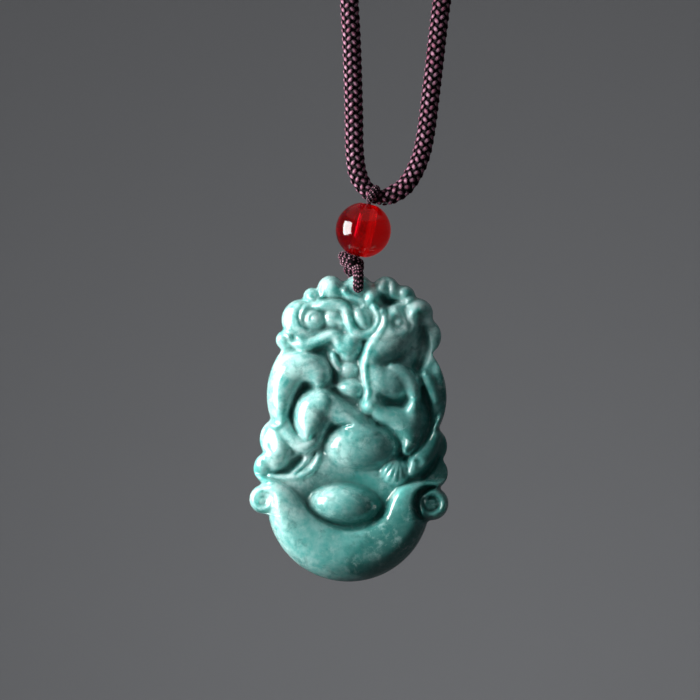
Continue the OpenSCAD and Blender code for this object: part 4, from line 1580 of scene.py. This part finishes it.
@dataclass
class Bead(Assembly):
    """The red glass bead, turned with a rounded bore.

    Args:
        bore: Width of its bore.
        lip: Radius of the bore's rounded lips.
        lean: Its lean, in degrees.
        segments: Steps of its turning.
        arcs: Points along its outside.
        lip_arcs: Points along each lip.
        bore_rings: Points along the bore.
        lip_start: Angle at which a lip leaves the outside, in radians.
        lip_depth: How far each end of the bore's straight part lies in, over the lip's radius.
    """

    bore: float = 2.2 * MM
    lip: float = 0.18 * MM
    lean: float = 10.4
    segments: int = 96
    arcs: int = 48
    lip_arcs: int = 5
    bore_rings: int = 12
    lip_start: float = 0.3
    lip_depth: float = 1.6

    def build(self) -> list[bpy.types.Object]:
        """Makes the bead where its solid is.

        Returns:
            Its one piece.
        """
        low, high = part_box("bead")
        radius = (high.y - low.y) / 2
        inner = self.bore / 2
        top = math.acos((inner + self.lip) / radius)
        rim = math.sin(top) * radius
        outside = [(radius * math.cos(a), radius * math.sin(a)) for a in np.linspace(-top, top, self.arcs)]
        upper = [(inner + self.lip * (1 - math.sin(b)), rim - self.lip * (1 - math.cos(b)))
                 for b in np.linspace(self.lip_start, math.pi / 2, self.lip_arcs)]
        end = rim - self.lip_depth * self.lip
        bore = [(inner, z) for z in np.linspace(end, -end, self.bore_rings)]
        outline = outside + upper + bore + [(r, -z) for r, z in reversed(upper)]
        points = np.array([[r * math.cos(a), r * math.sin(a), z]
                           for a in circle(self.segments) for r, z in outline])
        turn = Matrix.Rotation(math.radians(self.lean), 3, "Y")
        points = points @ np.array(turn).T + np.array((low + high) / 2)
        faces = [f[::-1] for f in ring_faces(self.segments, len(outline), True)]
        return [seat(make_piece("bead_turned", points, faces, self.finish), Body.ROOT, Slot.BEAD, "bead")]


@dataclass
class Pendant(Assembly):
    """The carved jade plaque, with its hole drilled from front to back. Its sizes are in millimetres.

    Args:
        spacing: Distance between neighbouring points of the face.
        back_rings: Rings of points on the back.
        line_top: Top of the middle line from which rays run to the outline.
        line_foot: Foot of that line.
        fan_width: Distance from the line's ends to the outline, for the spacing of the rays there.
        half_width: Greatest distance from the line to the outline, for the spacing of the rings.
        crowd: How much the rings crowd towards the outline.
        hole: Width of the hole.
        hole_rise: Height of its middle above the datum.
        countersink: Width and depth of its softened rims.
        hole_front: Distance in front of the datum's plane from which the hole narrows.
        hole_back: Distance behind that plane from which it widens again.
        hole_reach: How far the cutter reaches to front and back.
        hole_sides: Sides of the hole.
    """

    spacing: float = 0.16
    back_rings: int = 22
    line_top: float = -4
    line_foot: float = -38
    fan_width: float = 9
    half_width: float = 13
    crowd: float = 0.35
    hole: float = 1.9
    hole_rise: float = 0.25
    countersink: float = 0.3
    hole_front: float = 2.55
    hole_back: float = 1.75
    hole_reach: float = 9
    hole_sides: int = 48

    def rays(self) -> Array:
        """Rays from the middle line to the outline.

        Returns:
            For each, the row of the line at which it starts, and its angle.
        """
        rows = round((self.line_top - self.line_foot) / self.spacing)
        fan = round(self.fan_width * math.pi / self.spacing)
        over = [(0, math.pi - math.pi * i / fan) for i in range(1, fan)]
        right = [(k, 0) for k in range(rows + 1)]
        under = [(rows, -math.pi * i / fan) for i in range(1, fan)]
        left = [(k, math.pi) for k in range(rows, -1, -1)]
        return np.array(over + right + under + left)

    @staticmethod
    def wall(numbers: Array) -> list[list[int]]:
        """Faces between rings of points, three-sided where neighbouring rays start at one point.

        Args:
            numbers: Point numbers, a row for each ring and a column for each ray.

        Returns:
            Point numbers of each face.
        """
        faces = []
        for a, b in zip(numbers.T, np.roll(numbers, -1, axis=1).T):
            for j in range(len(a) - 1):
                last = [] if a[j] == b[j] else [a[j]]
                faces.append([b[j], b[j + 1], a[j + 1], *last])
        return faces

    def build(self) -> list[bpy.types.Object]:
        """Makes the plaque.

        Returns:
            Its one piece.
        """
        carving = Carving()
        start, angle = self.rays().T
        start = start.astype(int)
        line = np.linspace(self.line_top, self.line_foot, start.max() + 1)
        middle, rays = len(line), len(start)
        edge = carving.to_edge(np.zeros(rays), line[start], angle)
        rings = round(self.half_width / self.spacing) + 1
        xs, zs = [np.zeros(middle)] * 2, [line] * 2
        ys = [-carving.face(xs[0], line), carving.back(xs[0], line)]
        for side, count in ((-1, rings), (1, self.back_rings)):
            # The back's last ring is the face's, on the outline
            for share in np.arange(1, count + (side < 0)) / count:
                reach = share * (1 + self.crowd * (1 - share)) * edge
                x, z = reach * np.cos(angle), line[start] + reach * np.sin(angle)
                xs.append(x)
                zs.append(z)
                ys.append(carving.back(x, z) if side > 0 else -carving.face(x, z) * (share < 1))
        x, y, z = (np.concatenate(v) for v in (xs, ys, zs))
        numbers = 2 * middle + np.arange(len(x) - 2 * middle).reshape(-1, rays)
        front = np.vstack([start, numbers[:rings]])
        back = np.vstack([middle + start, numbers[rings:], numbers[rings - 1]])
        faces = self.wall(front) + [[f[0], *f[:0:-1]] for f in self.wall(back)]
        # The hollow value darkens the jade's colour: painted shade in the recesses.
        hollow = carving.sample(carving.painted_shade_depths, x, z) * (y < 0)
        points = np.stack([x * MM + DATUM.x, y * MM, z * MM + DATUM.z], 1)
        piece = make_piece("jade_plaque", points, faces, self.finish, {"hollow": hollow})
        self.drill(piece)
        return [seat(piece, Body.PENDANT, Slot.JADE, "pendant")]

    def drill(self, piece: bpy.types.Object) -> None:
        """Cuts the hole, with softened rims.

        Args:
            piece: The plaque.
        """
        r, rim = self.hole / 2, self.countersink
        profile = [(-self.hole_reach, r + rim), (-self.hole_front, r + rim), (-self.hole_front + rim, r),
                   (self.hole_back, r), (self.hole_back + rim, r + rim), (self.hole_reach, r + rim)]
        points = [(ring * math.cos(a), y, ring * math.sin(a) + self.hole_rise)
                  for y, ring in profile for a in circle(self.hole_sides)]
        faces = ring_faces(len(profile), self.hole_sides, False)
        cutter = make_piece("hole_cutter", np.array(from_datum(points)), faces, self.finish)
        cut = piece.modifiers.new("hole", "BOOLEAN")
        cut.operation, cut.solver, cut.object = "DIFFERENCE", "EXACT", cutter
        bpy.context.view_layer.update()
        mesh = bpy.data.meshes.new_from_object(piece.evaluated_get(bpy.context.evaluated_depsgraph_get()))
        piece.modifiers.clear()
        piece.data = mesh
        bpy.data.objects.remove(cutter)


# The studio


@dataclass(frozen=True)
class SoftLight:
    """A soft light.

    Args:
        name: Its name.
        place: Where it stands.
        aim: The point that it faces.
        size: Its width and height.
        power: Its power, in watts.
        colour: Its colour.
    """

    name: str
    place: tuple[float, float, float]
    aim: tuple[float, float, float]
    size: Span
    power: float
    colour: Colour

    def build(self) -> None:
        """Makes the light."""
        data = bpy.data.lights.new(self.name, "AREA")
        data.shape, data.size, data.size_y = "RECTANGLE", *self.size
        data.energy, data.color = self.power, self.colour
        light = bpy.data.objects.new(self.name, data)
        light.location = self.place
        light.rotation_mode = "QUATERNION"
        light.rotation_quaternion = (Vector(self.aim) - Vector(self.place)).to_track_quat("-Z", "Y")
        light.visible_camera = False
        bpy.context.scene.collection.objects.link(light)


@dataclass
class Floor:
    """Round floor, which curves up into a wall.

    Args:
        level: Its height.
        radius: Radius of its flat part.
        bend: Radius of its bend.
        wall: Height of the wall over the bend.
        sides: Points in each ring.
        flat_rings: Rings of the flat part.
        bend_rings: Rings of the bend.
        bend_start: Angle of the bend's first ring, in radians.
        wall_rings: Rings of the wall.
    """

    level: float = -1.4
    radius: float = 2.2
    bend: float = 0.8
    wall: float = 2.6
    sides: int = 96
    flat_rings: int = 8
    bend_rings: int = 14
    bend_start: float = 0.1
    wall_rings: int = 3

    def build(self, finish: bpy.types.Material) -> None:
        """Makes the floor.

        Args:
            finish: Its material.
        """
        flat = [(self.radius * (k + 1) / self.flat_rings, 0) for k in range(self.flat_rings)]
        bend = [(self.radius + self.bend * math.sin(a), self.bend * (1 - math.cos(a)))
                for a in np.linspace(self.bend_start, math.pi / 2, self.bend_rings)]
        wall = [(self.radius + self.bend, self.bend + self.wall * (k + 1) / self.wall_rings)
                for k in range(self.wall_rings)]
        profile = flat + bend + wall
        points = [(0, 0, self.level)] + [(r * math.cos(a), r * math.sin(a), self.level + z)
                                         for r, z in profile for a in circle(self.sides)]
        faces = [[i + 1 for i in f] for f in ring_faces(len(profile), self.sides, False)[:-2]]
        faces += [[0, s + 1, (s + 1) % self.sides + 1] for s in range(self.sides)]
        piece = make_piece("pale_floor", np.array(points), faces, finish)


@dataclass
class Studio:
    """Plain pale floor, soft lights in a dim room, and the camera at the photo's angle.

    Args:
        frame_width: Width of what the camera sees at the necklace.
        distance: Distance from the camera to the necklace.
        aim: The point in the middle of the picture.
        roll: Roll of the camera, in degrees, so that the hanging plumb line leans to the right.
        sensor: Width of the camera's sensor, in millimetres.
        near: Distance from which the camera sees.
        far: Distance up to which it sees.
        window_side: Direction of the window from that point.
        window_distance: Its distance.
        room_colour: Colour of the dim room's light.
        room_strength: Its strength.
    """

    frame_width: float = 0.105
    distance: float = 0.75
    aim: tuple[float, float, float] = (-0.00486, 0, -0.30905)
    roll: float = 2.16
    sensor: float = 36
    near: float = 0.01
    far: float = 50
    window_side: tuple[float, float, float] = (-0.945, -0.29, 0.16)
    window_distance: float = 0.2
    room_colour: Colour = (0.96, 0.97, 1)
    room_strength: float = 0.205

    def camera(self) -> None:
        """Makes the level, rolled camera."""
        data = bpy.data.cameras.new("photo_camera")
        data.sensor_width = self.sensor
        data.lens = self.sensor * self.distance / self.frame_width
        data.clip_start, data.clip_end = self.near, self.far
        camera = bpy.data.objects.new("photo_camera", data)
        bpy.context.scene.collection.objects.link(camera)
        a = math.radians(self.roll)
        right, up = Vector((math.cos(a), 0, math.sin(a))), Vector((-math.sin(a), 0, math.cos(a)))
        turn = Matrix((right, up, Vector((0, -1, 0)))).transposed().to_4x4()
        camera.matrix_world = Matrix.Translation(Vector(self.aim) - Vector((0, self.distance, 0))) @ turn
        bpy.context.scene.camera = camera

    def lights(self) -> None:
        """Makes a window-like light at the left, a light on the wall behind, and the dim room's light."""
        window = Vector(self.aim) + self.window_distance * Vector(self.window_side).normalized()
        SoftLight("window_light", tuple(window), self.aim, size=(0.15, 0.16), power=1.35,
                  colour=(1, 0.99, 0.97)).build()
        SoftLight("backdrop_light", (0.1, 2.2, -0.7), (0.08, 3, -0.38), size=(0.3, 0.2), power=1.35,
                  colour=(0.94, 0.97, 1)).build()
        world = bpy.data.worlds.new("dim_room")
        world.use_nodes = True
        shade = world.node_tree.nodes["Background"]
        shade.inputs["Color"].default_value = (*self.room_colour, 1)
        shade.inputs["Strength"].default_value = self.room_strength
        bpy.context.scene.world = world
        bpy.context.scene.view_settings.view_transform = "Standard"

    def build(self) -> None:
        """Makes the studio."""
        self.camera()
        self.lights()
        Floor().build(FloorFinish().material())


def main() -> None:
    """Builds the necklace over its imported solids, and the studio round it."""
    logging.basicConfig(level=logging.INFO, format="%(name)s: %(message)s")
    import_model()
    Studio().build()
    neck = CordFinish("neck_cord_yarn").material()
    thin = CordFinish("thin_cord_yarn", yarn=(0.28, 0.08, 0.14), dusty=(0.62, 0.34, 0.44),
                      fibre=0.03 * MM).material()
    assemblies = [NeckCord(neck), NapeKnot(thin), Hanger(thin), Bead(BeadFinish().material()),
                  Pendant(JadeFinish().material())]
    for assembly in assemblies:
        for piece in assembly.build():
            LOG.info("%s: %d faces", piece.name, len(piece.data.polygons))


if __name__ == "__main__":
    main()
